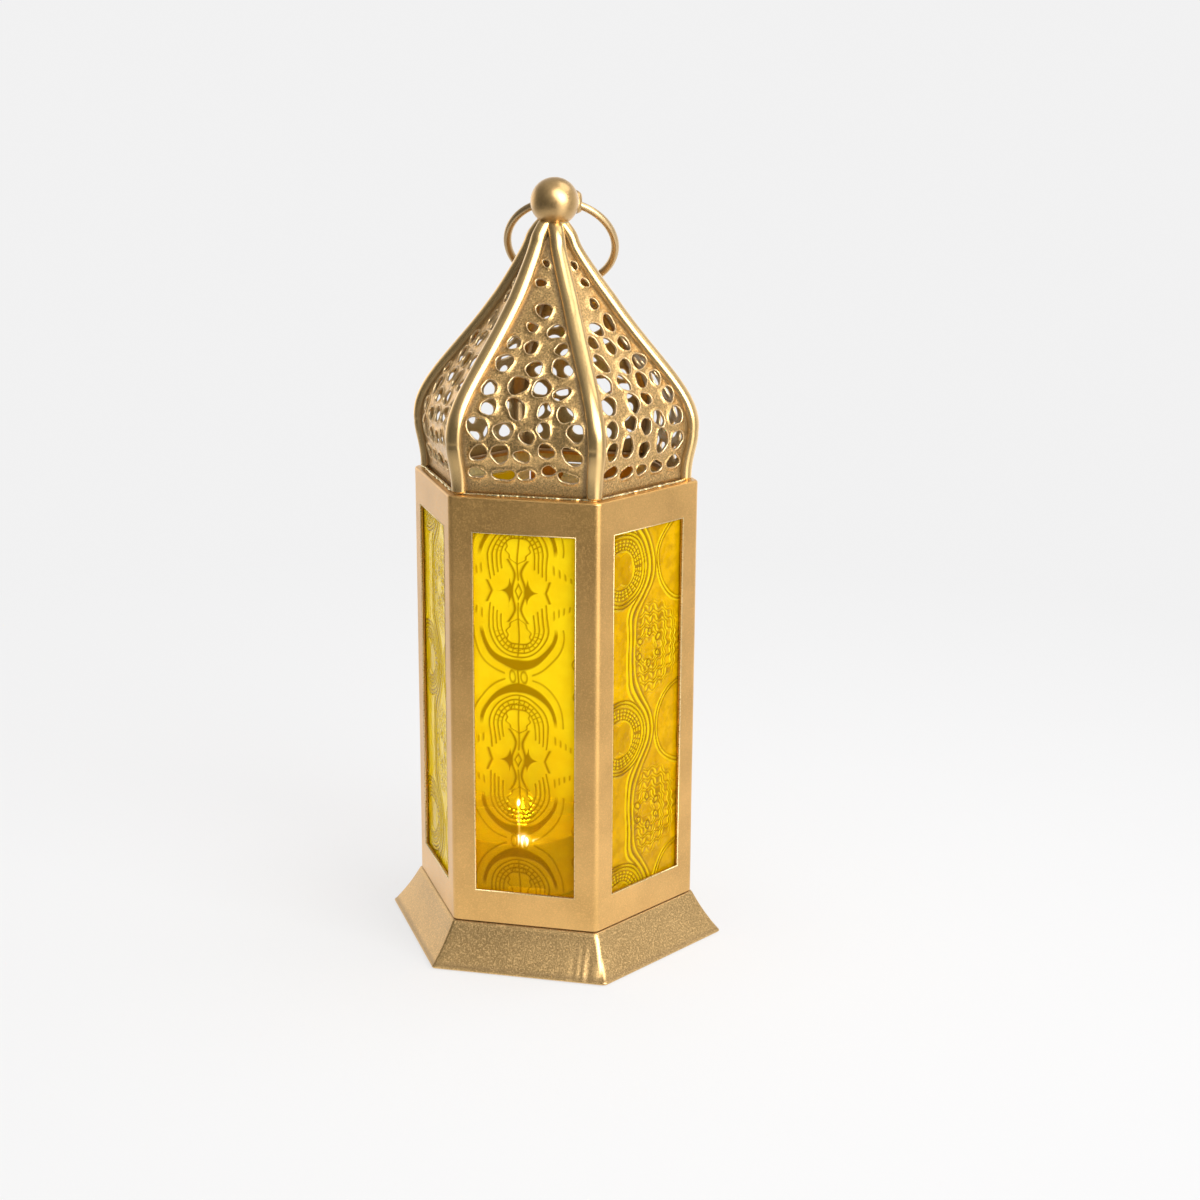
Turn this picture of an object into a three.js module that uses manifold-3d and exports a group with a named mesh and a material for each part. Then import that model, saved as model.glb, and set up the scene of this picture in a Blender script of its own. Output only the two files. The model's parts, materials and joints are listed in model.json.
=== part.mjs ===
// A six-sided glazed candle lantern in gold-painted sheet metal with a pierced ogee roof.
// Millimetres, +Z up. The origin is the centre of the base, where it rests. Two of the six corners
// point along X, the front face looks along -Y and the rear face (+Y) is the glazed door.
import * as THREE from "three";
import { mergeVertices } from "three/addons/utils/BufferGeometryUtils.js";
import Module from "manifold-3d";

const wasm = await Module();
wasm.setup();

// Clearance between neighbouring pieces
const gap = 0.3;

// Skirt: radii are from the axis to a corner
const baseCorner = 45;
const skirtHeight = 11;
const skirtTopCorner = 37.3;
const skirtWall = 1.2;
const skirtFlangeCorner = 33;
const hemHeight = 0.9;
const hemWidth = 3.2;

// Casing
const bodyCorner = 37.15;
const bodyHeight = 110.45;
const bodySheet = 0.7;
const bodyBend = 2;
const topFlangeCorner = 31;
const windowWidth = 25.6;
const windowSill = 8.5;
const windowHeader = 8.85;
const floorSheet = 0.8;

// Glass and the clips that hold it
const glassThickness = 2;
const glassLap = 2.7;
const clipSheet = 0.6;
const clipWidth = 10;
const clipFoot = 3.2;
const clipLip = 3.2;

// Door in the rear face
const doorWidth = 28.4;
const doorClearance = 0.4;
const doorSill = 4;
const doorHeader = 4.15;
const doorFrameBar = 4.2;
const doorRail = 6.6;

// Hinges on the corner beside the door
const hingeHeight = 14;
const hingeInset = 12;
const knuckleRadius = 1.45;
const hingePinRadius = 0.6;
const hingeBoreRadius = 0.95;
const pinHeadRadius = 1.3;
const pinHeadHeight = 0.8;
const leafSheet = 0.6;
const bodyLeafReach = 6.2;
const doorLeafReach = 8.8;
const doorLeafNeck = 3.1;

// Knob and turn button
const knobRadius = 2.4;
const knobBaseRadius = 1.9;
const knobBaseHeight = 0.6;
const knobNeckRadius = 1.1;
const knobNeckStart = 1;
const knobReach = 6;
const knobAboveMiddle = 14;
const catchLength = 9;
const catchWidth = 2.6;
const catchSheet = 0.7;
const catchInset = 2;
const rivetRadius = 0.6;
const rivetBoreRadius = 0.9;
const rivetHeadRadius = 1.3;
const rivetHeadHeight = 0.6;
const rivetHeadSteps = 3;

// Roof: the ogee is the line of the ribs' centres, as radius from the axis and rise from the roof's foot
const roofFootRadius = 33.6;
const roofFootBend = 6.5;
const bellyRadius = 35.3;
const bellyRise = 13.1;
const bellyBendBelow = 5.1;
const bellyBendAbove = 11.4;
const neckRadius = 2.9;
const roofHeight = 61.2;
const neckBend = 29.6;
const neckSpread = 18;
const ribRadius = 1.65;
const ribNeckRadius = 1.1;
const ribTaperHeight = 8;
const panelSheet = 0.9;
const panelRise = 55.5;

// Pierced pattern, measured on the unrolled sheet
const holeRowPitch = 5.5;
const holePitch = 6.1;
const holeRadiusLow = 2.55;
const holeRadiusTop = 1.3;
const holeWeb = 1;
const holeFootMargin = 5;
const holeTipMargin = 2.4;
const holeEdgeMargin = 0.7;
const holeShake = 3;
const holeLeastShare = 0.68;
const holeMostShare = 1.18;
const holeLeastStretch = 0.82;
const holeMostStretch = 1.22;
const holeLeastRadius = 0.5;
const holeSettling = 60;
const holePush = 0.3;

// Finial, eye and ring
const ballRadius = 5.7;
const crownRadius = 3.6;
const crownWall = 0.4;
const crownDishLatitude = -55;
const eyeRadius = 2.8;
const eyeBoreRadius = 2.2;
const eyeReachRight = 7.2;
const eyeReachLeft = 3;
const eyeDrop = 1.7;
const eyeStrapSheet = 0.9;
const eyeStrapWidth = 4;
const ringRadius = 12.95;
const ringWireRadius = 0.8;
const ringAzimuth = 100;
const ringLean = 32;

// Tealight
const candleOffset = 9;
const candleAzimuth = 192;
const cupRadius = 19;
const cupHeight = 16;
const cupSheet = 0.4;
const waxBelowRim = 2;
const waxDish = 0.7;
const wickRadius = 0.7;
const wickHeight = 4.2;
const wickFootRadius = 6;
const wickFootSheet = 0.4;

// Roundness
const roundSides = 24;
const smallSides = 16;
const wickSides = 8;
const knobSteps = 7;
const ballSteps = 13;
const crownDishSteps = 6;
const cornerSteps = 3;
const catchEndSteps = 6;
const ribSides = 8;
const ribSteps = 14;
const panelSteps = 12;
const panelFineSteps = 200;
const holeSides = 6;
const ringSteps = 40;
const ringSections = 8;

// Levels and radii that follow from the sizes above
const sides = 6;
const halfSide = Math.PI / sides;
const pole = 90;
const bodyBottom = skirtHeight + gap;
const bodyTop = bodyBottom + bodyHeight;
const bodyFace = bodyCorner * Math.cos(halfSide);
const innerFace = bodyFace - bodySheet;
const floorTop = bodyBottom + floorSheet;
const windowBottom = bodyBottom + windowSill;
const windowTop = bodyTop - windowHeader;
const doorBottom = bodyBottom + doorSill;
const doorTop = bodyTop - doorHeader;
const doorMiddle = (doorBottom + doorTop) / 2;
const hingeAxisRadius = bodyCorner + (knuckleRadius + gap) / Math.cos(halfSide);
const hingeAcross = hingeAxisRadius * Math.sin(halfSide);
const hingeOut = hingeAxisRadius * Math.cos(halfSide);
const catchAcross = doorWidth / 2 + catchInset;
const roofFoot = bodyTop + gap;
const neckTop = roofFoot + roofHeight;
const ballCentre = neckTop + gap + crownWall + gap + ballRadius;
const frontAngle = -90;
const doorFace = 3;

// Paint, glass and candle
const satinGold = { color: 0xc9a063, roughness: 0.42, metalness: 0.85 };
const brightGold = { color: 0xd0a868, roughness: 0.34, metalness: 0.9 };
const baseGold = { color: 0xb8925a, roughness: 0.48, metalness: 0.85 };
const amberGlass = { color: 0xe0b000, roughness: 0.12, metalness: 0, transparent: true, opacity: 0.6 };
const clipTin = { color: 0xb0935e, roughness: 0.5, metalness: 0.8 };
const foil = { color: 0xc8c8cc, roughness: 0.3, metalness: 1 };
const paraffin = { color: 0xf4efe2, roughness: 0.6, metalness: 0 };
const charred = { color: 0x2e2722, roughness: 0.95, metalness: 0 };

const radians = THREE.MathUtils.degToRad;
const { clamp, lerp } = THREE.MathUtils;
const lantern = new THREE.Group();

// A closed three.js geometry as a solid that can be joined and cut.
function solid(geometry) {
  const bare = new THREE.BufferGeometry();
  bare.setAttribute("position", geometry.getAttribute("position"));
  if (geometry.index) bare.setIndex(geometry.index);
  const merged = mergeVertices(bare, 1e-4);
  const corners = merged.index.array;
  const triangles = [];
  for (let i = 0; i < corners.length; i += 3) {
    const [a, b, c] = corners.slice(i, i + 3);
    if (a !== b && b !== c && c !== a) triangles.push(a, b, c);
  }
  return new wasm.Manifold(
    new wasm.Mesh({
      numProp: 3,
      vertProperties: merged.attributes.position.array,
      triVerts: new Uint32Array(triangles),
    }),
  );
}

function joined(...geometries) {
  return geometries.map(solid).reduce((whole, piece) => whole.add(piece));
}

// The named mesh of a solid, added to a group.
function addPiece(group, name, body, look) {
  const { vertProperties, triVerts } = body.getMesh();
  const geometry = new THREE.BufferGeometry();
  geometry.setAttribute("position", new THREE.BufferAttribute(vertProperties, 3));
  geometry.setIndex(new THREE.BufferAttribute(triVerts, 1));
  geometry.computeVertexNormals();
  const mesh = new THREE.Mesh(geometry, new THREE.MeshStandardMaterial(look));
  mesh.name = name;
  group.add(mesh);
  return mesh;
}

// A group turned about the axis, so that its +X points out along an angle.
function turnedGroup(degrees) {
  const group = new THREE.Group();
  group.rotation.z = radians(degrees);
  lantern.add(group);
  return group;
}

const faceAngle = (face) => frontAngle + (face * 360) / sides;

// A profile of [radius, height] points turned about Z.
function turned(profile, segments) {
  const points = profile.map(([radius, height]) => new THREE.Vector2(radius, height));
  return new THREE.LatheGeometry([...points, points[0]], segments).rotateX(Math.PI / 2);
}

// A profile of [corner radius, height] points run round the hexagon, mitred at its corners.
const hexRing = (profile) => turned(profile, sides).rotateZ(halfSide);

// A hexagon with rounded corners, the first on +X.
function hexagon(corner, bend) {
  const outline = new THREE.Shape();
  const centre = corner - bend / Math.cos(halfSide);
  for (let i = 0; i < sides; i++) {
    const angle = 2 * halfSide * i;
    const x = centre * Math.cos(angle);
    const y = centre * Math.sin(angle);
    outline.absarc(x, y, bend, angle - halfSide, angle + halfSide);
  }
  outline.closePath();
  return outline;
}

function raised(shape, bottom, top, curveSegments = cornerSteps) {
  const options = { depth: top - bottom, bevelEnabled: false, curveSegments };
  return new THREE.ExtrudeGeometry(shape, options).translate(0, 0, bottom);
}

// A box from its lowest to its highest corner.
function block(low, high) {
  const size = high.map((value, axis) => value - low[axis]);
  const middle = high.map((value, axis) => (value + low[axis]) / 2);
  return new THREE.BoxGeometry(...size).translate(...middle);
}

function rod(radius, bottom, top, segments = smallSides) {
  const cylinder = new THREE.CylinderGeometry(radius, radius, top - bottom, segments);
  return cylinder.rotateX(Math.PI / 2).translate(0, 0, (top + bottom) / 2);
}

// A profile of [x, z] points given a width along Y.
function acrossY(profile, from, to) {
  const shape = new THREE.Shape(profile.map(([x, z]) => new THREE.Vector2(x, z)));
  const options = { depth: to - from, bevelEnabled: false };
  return new THREE.ExtrudeGeometry(shape, options).rotateX(Math.PI / 2).translate(0, to, 0);
}

function makeSkirt() {
  const flangeBottom = skirtHeight - hemHeight;
  const profile = [
    [baseCorner, 0],
    [baseCorner, hemHeight],
    [skirtTopCorner, skirtHeight],
    [skirtFlangeCorner, skirtHeight],
    [skirtFlangeCorner, flangeBottom],
    [skirtTopCorner - skirtWall, flangeBottom],
    [baseCorner - skirtWall, hemHeight],
    [baseCorner - hemWidth, hemHeight],
    [baseCorner - hemWidth, 0],
  ];
  addPiece(lantern, "base_skirt", solid(hexRing(profile)), baseGold);
}

function makeCasing() {
  const innerCorner = innerFace / Math.cos(halfSide);
  const outer = hexagon(bodyCorner, bodyBend);
  outer.holes.push(hexagon(innerCorner, bodyBend - bodySheet));
  const flange = hexagon(bodyCorner, bodyBend);
  flange.holes.push(hexagon(topFlangeCorner, bodyBend));
  let casing = solid(raised(outer, bodyBottom, bodyTop));
  casing = casing.add(solid(raised(flange, bodyTop - bodySheet, bodyTop)));
  for (let face = 0; face < sides; face++) {
    const isDoor = face === doorFace;
    const halfWidth = isDoor ? doorWidth / 2 + doorClearance : windowWidth / 2;
    const bottom = isDoor ? doorBottom - doorClearance : windowBottom;
    const top = isDoor ? doorTop + doorClearance : windowTop;
    const inside = innerFace - bodyBend;
    const cutter = block([inside, -halfWidth, bottom], [bodyFace + bodyBend, halfWidth, top]);
    casing = casing.subtract(solid(cutter.rotateZ(radians(faceAngle(face)))));
  }
  const rivetHole = rod(rivetBoreRadius, innerFace - gap, bodyFace + gap).rotateY(Math.PI / 2);
  rivetHole.translate(0, catchAcross, doorMiddle).rotateZ(radians(faceAngle(doorFace)));
  addPiece(lantern, "body_frame", casing.subtract(solid(rivetHole)), satinGold);

  const floorCorner = innerCorner - gap / Math.cos(halfSide);
  const floor = raised(hexagon(floorCorner, bodyBend), bodyBottom, floorTop);
  addPiece(lantern, "floor_plate", solid(floor), clipTin);
}

// One pane behind an opening, with the bent clips that hold it at its foot and head.
function makePane(group, names, openingWidth, bottom, top) {
  const seat = innerFace - gap;
  const halfWidth = openingWidth / 2 + glassLap;
  const paneBottom = bottom - glassLap;
  const paneTop = top + glassLap;
  const pane = block([seat - glassThickness, -halfWidth, paneBottom], [seat, halfWidth, paneTop]);
  addPiece(group, names.glass, solid(pane), amberGlass);

  const lipOuter = glassThickness + gap + clipSheet;
  const profile = [
    [0, 0],
    [0, -clipSheet - clipFoot],
    [-clipSheet, -clipSheet - clipFoot],
    [-clipSheet, -clipSheet],
    [-lipOuter, -clipSheet],
    [-lipOuter, gap + clipLip],
    [-lipOuter + clipSheet, gap + clipLip],
    [-lipOuter + clipSheet, 0],
  ];
  const clip = acrossY(profile.reverse(), -clipWidth / 2, clipWidth / 2);
  const foot = addPiece(group, names.bottomClip, solid(clip), clipTin);
  foot.position.set(seat, 0, paneBottom - gap);
  const head = addPiece(group, names.topClip, solid(clip), clipTin);
  head.position.set(seat, 0, paneTop + gap);
  head.rotation.x = Math.PI;
}

function makeWindows() {
  let number = 0;
  for (let face = 0; face < sides; face++) {
    if (face === doorFace) continue;
    number += 1;
    const names = {
      glass: "glass_pane_" + number,
      bottomClip: "pane_clip_bottom_" + number,
      topClip: "pane_clip_top_" + number,
    };
    makePane(turnedGroup(faceAngle(face)), names, windowWidth, windowBottom, windowTop);
  }
}

function makeDoor() {
  const group = turnedGroup(faceAngle(doorFace));
  const halfWidth = doorWidth / 2;
  const openingHalf = halfWidth - doorFrameBar;
  const openingBottom = doorBottom + doorRail;
  const openingTop = doorTop - doorRail;
  const sheet = solid(block([innerFace, -halfWidth, doorBottom], [bodyFace, halfWidth, doorTop]));
  const opening = block(
    [innerFace - gap, -openingHalf, openingBottom],
    [bodyFace + gap, openingHalf, openingTop],
  );
  addPiece(group, "door_frame", sheet.subtract(solid(opening)), satinGold);
  const names = { glass: "door_glass", bottomClip: "door_clip_bottom", topClip: "door_clip_top" };
  makePane(group, names, 2 * openingHalf, openingBottom, openingTop);

  const knobNeckLatitude = -THREE.MathUtils.radToDeg(Math.acos(knobNeckRadius / knobRadius));
  const knobProfile = [
    [0, 0],
    [knobBaseRadius, 0],
    [knobBaseRadius, knobBaseHeight],
    [knobNeckRadius, knobNeckStart],
    ...roundPoints(knobRadius, knobReach - knobRadius, knobNeckLatitude, pole, knobSteps),
  ];
  const knob = addPiece(group, "door_knob", solid(turned(knobProfile, smallSides)), brightGold);
  knob.rotation.y = Math.PI / 2;
  knob.position.set(bodyFace + gap, halfWidth - doorFrameBar / 2, doorMiddle + knobAboveMiddle);
}

// Points [radius, height] of an arc round a centre on the axis, between two latitudes in degrees.
function roundPoints(radius, centre, from, to, count) {
  const points = [];
  for (let i = 0; i < count; i++) {
    const angle = radians(from + ((to - from) * i) / (count - 1));
    points.push([Math.max(0, radius * Math.cos(angle)), centre + radius * Math.sin(angle)]);
  }
  return points;
}

// A hinge in three knuckles: the casing's leaf has the outer two and the door's leaf the middle one.
function makeHinge(level, bottom) {
  const doorGroup = turnedGroup(faceAngle(doorFace));
  const besideGroup = turnedGroup(faceAngle(doorFace - 1));
  const third = hingeHeight / 3;
  const low = bottom + third - gap / 2;
  const high = bottom + 2 * third + gap / 2;
  const top = bottom + hingeHeight;
  const leafIn = bodyFace + gap;
  const leafOut = leafIn + leafSheet;
  const bore = solid(rod(hingeBoreRadius, bottom - gap, top + gap).translate(hingeOut, hingeAcross, 0));
  const middleRoom = rod(knuckleRadius + gap, low, high).translate(hingeOut, hingeAcross, 0);
  const bodyLeaf = joined(
    block([leafIn, hingeAcross - bodyLeafReach, bottom], [leafOut, hingeAcross, top]),
    rod(knuckleRadius, bottom, top).translate(hingeOut, hingeAcross, 0),
  );
  const casingPart = bodyLeaf.subtract(solid(middleRoom)).subtract(bore);
  addPiece(besideGroup, "hinge_" + level + "_body_leaf", casingPart, brightGold);

  const neckLow = low + gap;
  const neckHigh = high - gap;
  const doorLeaf = joined(
    block([leafIn, -hingeAcross, neckLow], [leafOut, -hingeAcross + doorLeafReach, neckHigh]),
    block(
      [leafIn, -hingeAcross + doorLeafNeck, bottom],
      [leafOut, -hingeAcross + doorLeafReach, top],
    ),
    rod(knuckleRadius, neckLow, neckHigh).translate(hingeOut, -hingeAcross, 0),
  );
  const doorBore = rod(hingeBoreRadius, bottom, top).translate(hingeOut, -hingeAcross, 0);
  const doorPart = doorLeaf.subtract(solid(doorBore));
  addPiece(doorGroup, "hinge_" + level + "_door_leaf", doorPart, brightGold);

  const pin = joined(
    rod(hingePinRadius, bottom - gap - pinHeadHeight, top + gap + pinHeadHeight),
    rod(pinHeadRadius, bottom - gap - pinHeadHeight, bottom - gap),
    rod(pinHeadRadius, top + gap, top + gap + pinHeadHeight),
  );
  const pinMesh = addPiece(doorGroup, "hinge_" + level + "_pin", pin, brightGold);
  pinMesh.position.set(hingeOut, -hingeAcross, 0);
}

// The turn button hangs below its rivet, and turned a quarter it covers the door's edge.
function makeCatch() {
  const group = turnedGroup(faceAngle(doorFace));
  const end = new THREE.Shape();
  end.absarc(0, 0, catchWidth / 2, 0, Math.PI);
  end.absarc(0, catchWidth / 2 - catchLength, catchWidth / 2, Math.PI, 2 * Math.PI);
  end.closePath();
  const hole = rod(rivetBoreRadius, -gap, catchSheet + gap);
  const button = solid(raised(end, 0, catchSheet, catchEndSteps)).subtract(solid(hole));
  const mesh = addPiece(group, "door_catch", button, brightGold);
  mesh.rotation.set(Math.PI / 2, Math.PI / 2, 0);
  mesh.position.set(bodyFace + gap, catchAcross, doorMiddle);

  const shankOut = bodySheet + gap + catchSheet + gap;
  const head = [[0, shankOut]];
  for (let i = 0; i <= rivetHeadSteps; i++) {
    const angle = ((Math.PI / 2) * i) / rivetHeadSteps;
    const height = rivetHeadHeight * Math.sin(angle);
    head.push([Math.max(0, rivetHeadRadius * Math.cos(angle)), shankOut + height]);
  }
  const rivet = joined(
    rod(rivetRadius, -gap - rivetHeadHeight, shankOut + rivetHeadHeight / 2),
    rod(rivetHeadRadius, -gap - rivetHeadHeight, -gap),
    turned(head, smallSides),
  );
  const rivetMesh = addPiece(group, "door_catch_rivet", rivet, brightGold);
  rivetMesh.rotation.y = Math.PI / 2;
  rivetMesh.position.set(innerFace, catchAcross, doorMiddle);
}

// The ogee from foot to neck, as points of radius and height.
function ogeePoints(count) {
  const foot = new THREE.Vector2(roofFootRadius, roofFoot);
  const belly = new THREE.Vector2(bellyRadius, roofFoot + bellyRise);
  const neck = new THREE.Vector2(neckRadius, neckTop);
  const lower = new THREE.CubicBezierCurve(
    foot,
    new THREE.Vector2(roofFootRadius, roofFoot + roofFootBend),
    new THREE.Vector2(bellyRadius, belly.y - bellyBendBelow),
    belly,
  );
  const upper = new THREE.CubicBezierCurve(
    belly,
    new THREE.Vector2(bellyRadius, belly.y + bellyBendAbove),
    new THREE.Vector2(neckRadius + neckSpread, neckTop - neckBend),
    neck,
  );
  const path = new THREE.CurvePath();
  path.add(lower);
  path.add(upper);
  return path.getSpacedPoints(count);
}

// The direction across a planar path at each point, to its outer side.
function outwardNormals(points) {
  return points.map((point, i) => {
    const before = points[Math.max(0, i - 1)];
    const after = points[Math.min(points.length - 1, i + 1)];
    const along = after.clone().sub(before).normalize();
    return new THREE.Vector2(along.y, -along.x);
  });
}

// A round bar along a planar path in the XZ plane, thinner towards the neck.
function taperedBar(points, radii) {
  const normals = outwardNormals(points);
  const positions = [];
  points.forEach((point, i) => {
    for (let k = 0; k < ribSides; k++) {
      const angle = (2 * Math.PI * (k + 0.5)) / ribSides;
      const out = radii[i] * Math.cos(angle);
      const x = point.x + out * normals[i].x;
      const z = point.y + out * normals[i].y;
      positions.push(x, radii[i] * Math.sin(angle), z);
    }
  });
  const indices = [];
  for (let i = 0; i + 1 < points.length; i++) {
    for (let k = 0; k < ribSides; k++) {
      const a = i * ribSides + k;
      const b = i * ribSides + ((k + 1) % ribSides);
      indices.push(a, b, a + ribSides, b, b + ribSides, a + ribSides);
    }
  }
  const last = (points.length - 1) * ribSides;
  for (let k = 1; k + 1 < ribSides; k++) {
    indices.push(0, k + 1, k, last, last + k, last + k + 1);
  }
  const bar = new THREE.BufferGeometry();
  bar.setAttribute("position", new THREE.Float32BufferAttribute(positions, 3));
  bar.setIndex(indices);
  return bar;
}

function makeRibs() {
  const points = ogeePoints(ribSteps);
  const radii = points.map((point) => {
    const share = clamp((neckTop - point.y) / ribTaperHeight, 0, 1);
    return lerp(ribNeckRadius, ribRadius, share);
  });
  // The bar runs past both ends and is cut flat at the foot and at the neck.
  const start = points[0].clone().setY(roofFoot - ribRadius);
  const end = points.at(-1).clone().lerp(points.at(-2), -0.5);
  const bar = taperedBar([start, ...points, end], [radii[0], ...radii, radii.at(-1)]);
  const room = block([0, -bellyRadius, roofFoot], [2 * bellyRadius, bellyRadius, neckTop]);
  const rib = solid(bar).intersect(solid(room));
  for (let i = 0; i < sides; i++) {
    addPiece(turnedGroup(faceAngle(i + 0.5)), "dome_rib_" + (i + 1), rib, brightGold);
  }
}

// A repeatable scatter value from 0 to 1: what follows the point in a large multiple of a sine.
function scatter(seed) {
  const wave = Math.sin(seed * 127.1 + 311.7) * 43758.5453;
  return wave - Math.floor(wave);
}

// Half the width of a roof sheet between its ribs, where the ogee has a radius.
const sheetHalfWidth = (radius) => radius * Math.sin(halfSide) - (ribRadius + gap) / Math.cos(halfSide);

// The ogee up to the sheet's tip, with the run along the sheet to each point.
function sheetPath(count) {
  const points = ogeePoints(count).filter((point) => point.y <= roofFoot + panelRise);
  const across = Math.cos(halfSide);
  let run = 0;
  return points.map((point, i) => {
    if (i) {
      const before = points[i - 1];
      run += Math.hypot((point.x - before.x) * across, point.y - before.y);
    }
    return { run, radius: point.x, z: point.y };
  });
}

function pathAt(path, run) {
  const i = clamp(path.findIndex((step) => step.run >= run), 1, path.length - 1);
  const [before, after] = [path[i - 1], path[i]];
  const share = (run - before.run) / (after.run - before.run);
  const rise = (after.z - before.z) / (after.run - before.run);
  return {
    radius: lerp(before.radius, after.radius, share),
    z: lerp(before.z, after.z, share),
    rise,
  };
}

// The holes of one sheet: staggered rows, shaken and then pushed apart until webs remain between them.
function holesOfSheet(sheet, path) {
  const lowest = holeFootMargin;
  const highest = path.at(-1).run - holeTipMargin;
  const holes = [];
  const rows = Math.floor((highest - lowest) / holeRowPitch);
  for (let row = 0; row <= rows; row++) {
    const run = lowest + ((highest - lowest) * row) / rows;
    const half = sheetHalfWidth(pathAt(path, run).radius) - holeEdgeMargin;
    const count = Math.max(1, Math.round((2 * half) / holePitch));
    for (let i = 0; i < count; i++) {
      const seed = sheet * 1000 + row * 20 + i;
      const size = lerp(holeRadiusLow, holeRadiusTop, (run / highest) ** 2);
      holes.push({
        across: ((i + 0.5) / count - 0.5) * 2 * half + (scatter(seed) - 0.5) * holeShake,
        run: run + (scatter(seed + 0.31) - 0.5) * holeShake,
        radius: size * lerp(holeLeastShare, holeMostShare, scatter(seed + 0.57)),
        stretch: lerp(holeLeastStretch, holeMostStretch, scatter(seed + 0.73)),
        turn: Math.PI * scatter(seed + 0.91),
      });
    }
  }
  for (let step = 0; step < holeSettling; step++) {
    for (const hole of holes) {
      for (const other of holes) {
        if (other === hole) continue;
        const away = Math.hypot(hole.across - other.across, hole.run - other.run);
        const lack = hole.radius + other.radius + holeWeb - away;
        if (lack <= 0) continue;
        const push = (holePush * lack) / away;
        hole.across += (hole.across - other.across) * push;
        hole.run += (hole.run - other.run) * push;
      }
      hole.run = clamp(hole.run, lowest, highest);
      const half = sheetHalfWidth(pathAt(path, hole.run).radius) - holeEdgeMargin - hole.radius;
      const room = Math.max(half, 0);
      hole.across = clamp(hole.across, -room, room);
    }
  }
  // What is still too close is made smaller.
  for (const hole of holes) {
    const half = sheetHalfWidth(pathAt(path, hole.run).radius) - holeEdgeMargin;
    hole.radius = Math.min(hole.radius, half - Math.abs(hole.across));
    for (const other of holes) {
      if (other === hole) continue;
      const away = Math.hypot(hole.across - other.across, hole.run - other.run);
      const room = away - holeWeb - other.radius;
      if (hole.radius > room) hole.radius = Math.max(room, (away - holeWeb) / 2);
    }
  }
  return holes.filter((hole) => hole.radius > holeLeastRadius);
}

function makeRoofSheets() {
  const fine = sheetPath(panelFineSteps);
  const coarse = ogeePoints(panelSteps).filter((point) => point.y < roofFoot + panelRise);
  const tip = fine.at(-1);
  const line = coarse.map((point) => new THREE.Vector2(point.x * Math.cos(halfSide), point.y));
  line.push(new THREE.Vector2(tip.radius * Math.cos(halfSide), tip.z));
  const normals = outwardNormals(line);
  const edge = (side) =>
    line.map((point, i) => {
      const shift = (side * panelSheet) / 2;
      return [point.x + shift * normals[i].x, point.y + shift * normals[i].y];
    });
  const profile = [...edge(1), ...edge(-1).reverse()];
  const sheet = solid(acrossY(profile, -bellyRadius, bellyRadius));

  // The wedge between two ribs, clear of both.
  const margin = (ribRadius + gap) / Math.cos(halfSide);
  const reach = 2 * bellyRadius;
  const wedge = new THREE.Shape();
  wedge.moveTo(margin / Math.tan(halfSide), 0);
  wedge.lineTo(reach, reach * Math.tan(halfSide) - margin);
  wedge.lineTo(reach, -reach * Math.tan(halfSide) + margin);
  wedge.closePath();
  const room = solid(raised(wedge, roofFoot, neckTop));
  const blank = sheet.intersect(room);

  for (let i = 0; i < sides; i++) {
    const cutters = holesOfSheet(i + 1, fine).map((hole) => holeCutter(hole, fine));
    const pierced = cutters.reduce((left, cutter) => left.subtract(solid(cutter)), blank);
    addPiece(turnedGroup(faceAngle(i)), "dome_panel_" + (i + 1), pierced, satinGold);
  }
}

// A hole's prism, which runs straight out through the sheet.
function holeCutter(hole, path) {
  const place = pathAt(path, hole.run);
  const shape = new THREE.Shape();
  for (let k = 0; k < holeSides; k++) {
    const angle = (2 * Math.PI * k) / holeSides;
    const long = hole.radius * hole.stretch * Math.cos(angle);
    const short = (hole.radius / hole.stretch) * Math.sin(angle);
    const across = long * Math.cos(hole.turn) - short * Math.sin(hole.turn);
    const along = long * Math.sin(hole.turn) + short * Math.cos(hole.turn);
    const point = [hole.across + across, place.z + along * place.rise];
    if (k) shape.lineTo(...point);
    else shape.moveTo(...point);
  }
  shape.closePath();
  const prism = new THREE.ExtrudeGeometry(shape, { depth: 2 * bellyRadius, bevelEnabled: false });
  return prism.rotateX(Math.PI / 2).rotateZ(Math.PI / 2);
}

function makeFinial() {
  const crownBottom = neckTop + gap;
  const dishRadius = ballRadius + gap;
  const dish = roundPoints(dishRadius, ballCentre, -pole, crownDishLatitude, crownDishSteps).reverse();
  const crown = [[0, crownBottom], [crownRadius, crownBottom], [crownRadius, dish[0][1]], ...dish];
  addPiece(lantern, "crown_cap", solid(turned(crown, roundSides)), satinGold);
  const ball = roundPoints(ballRadius, 0, -pole, pole, ballSteps);
  const ballMesh = addPiece(lantern, "finial_ball", solid(turned(ball, roundSides)), brightGold);
  ballMesh.position.z = ballCentre;
}

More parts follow.
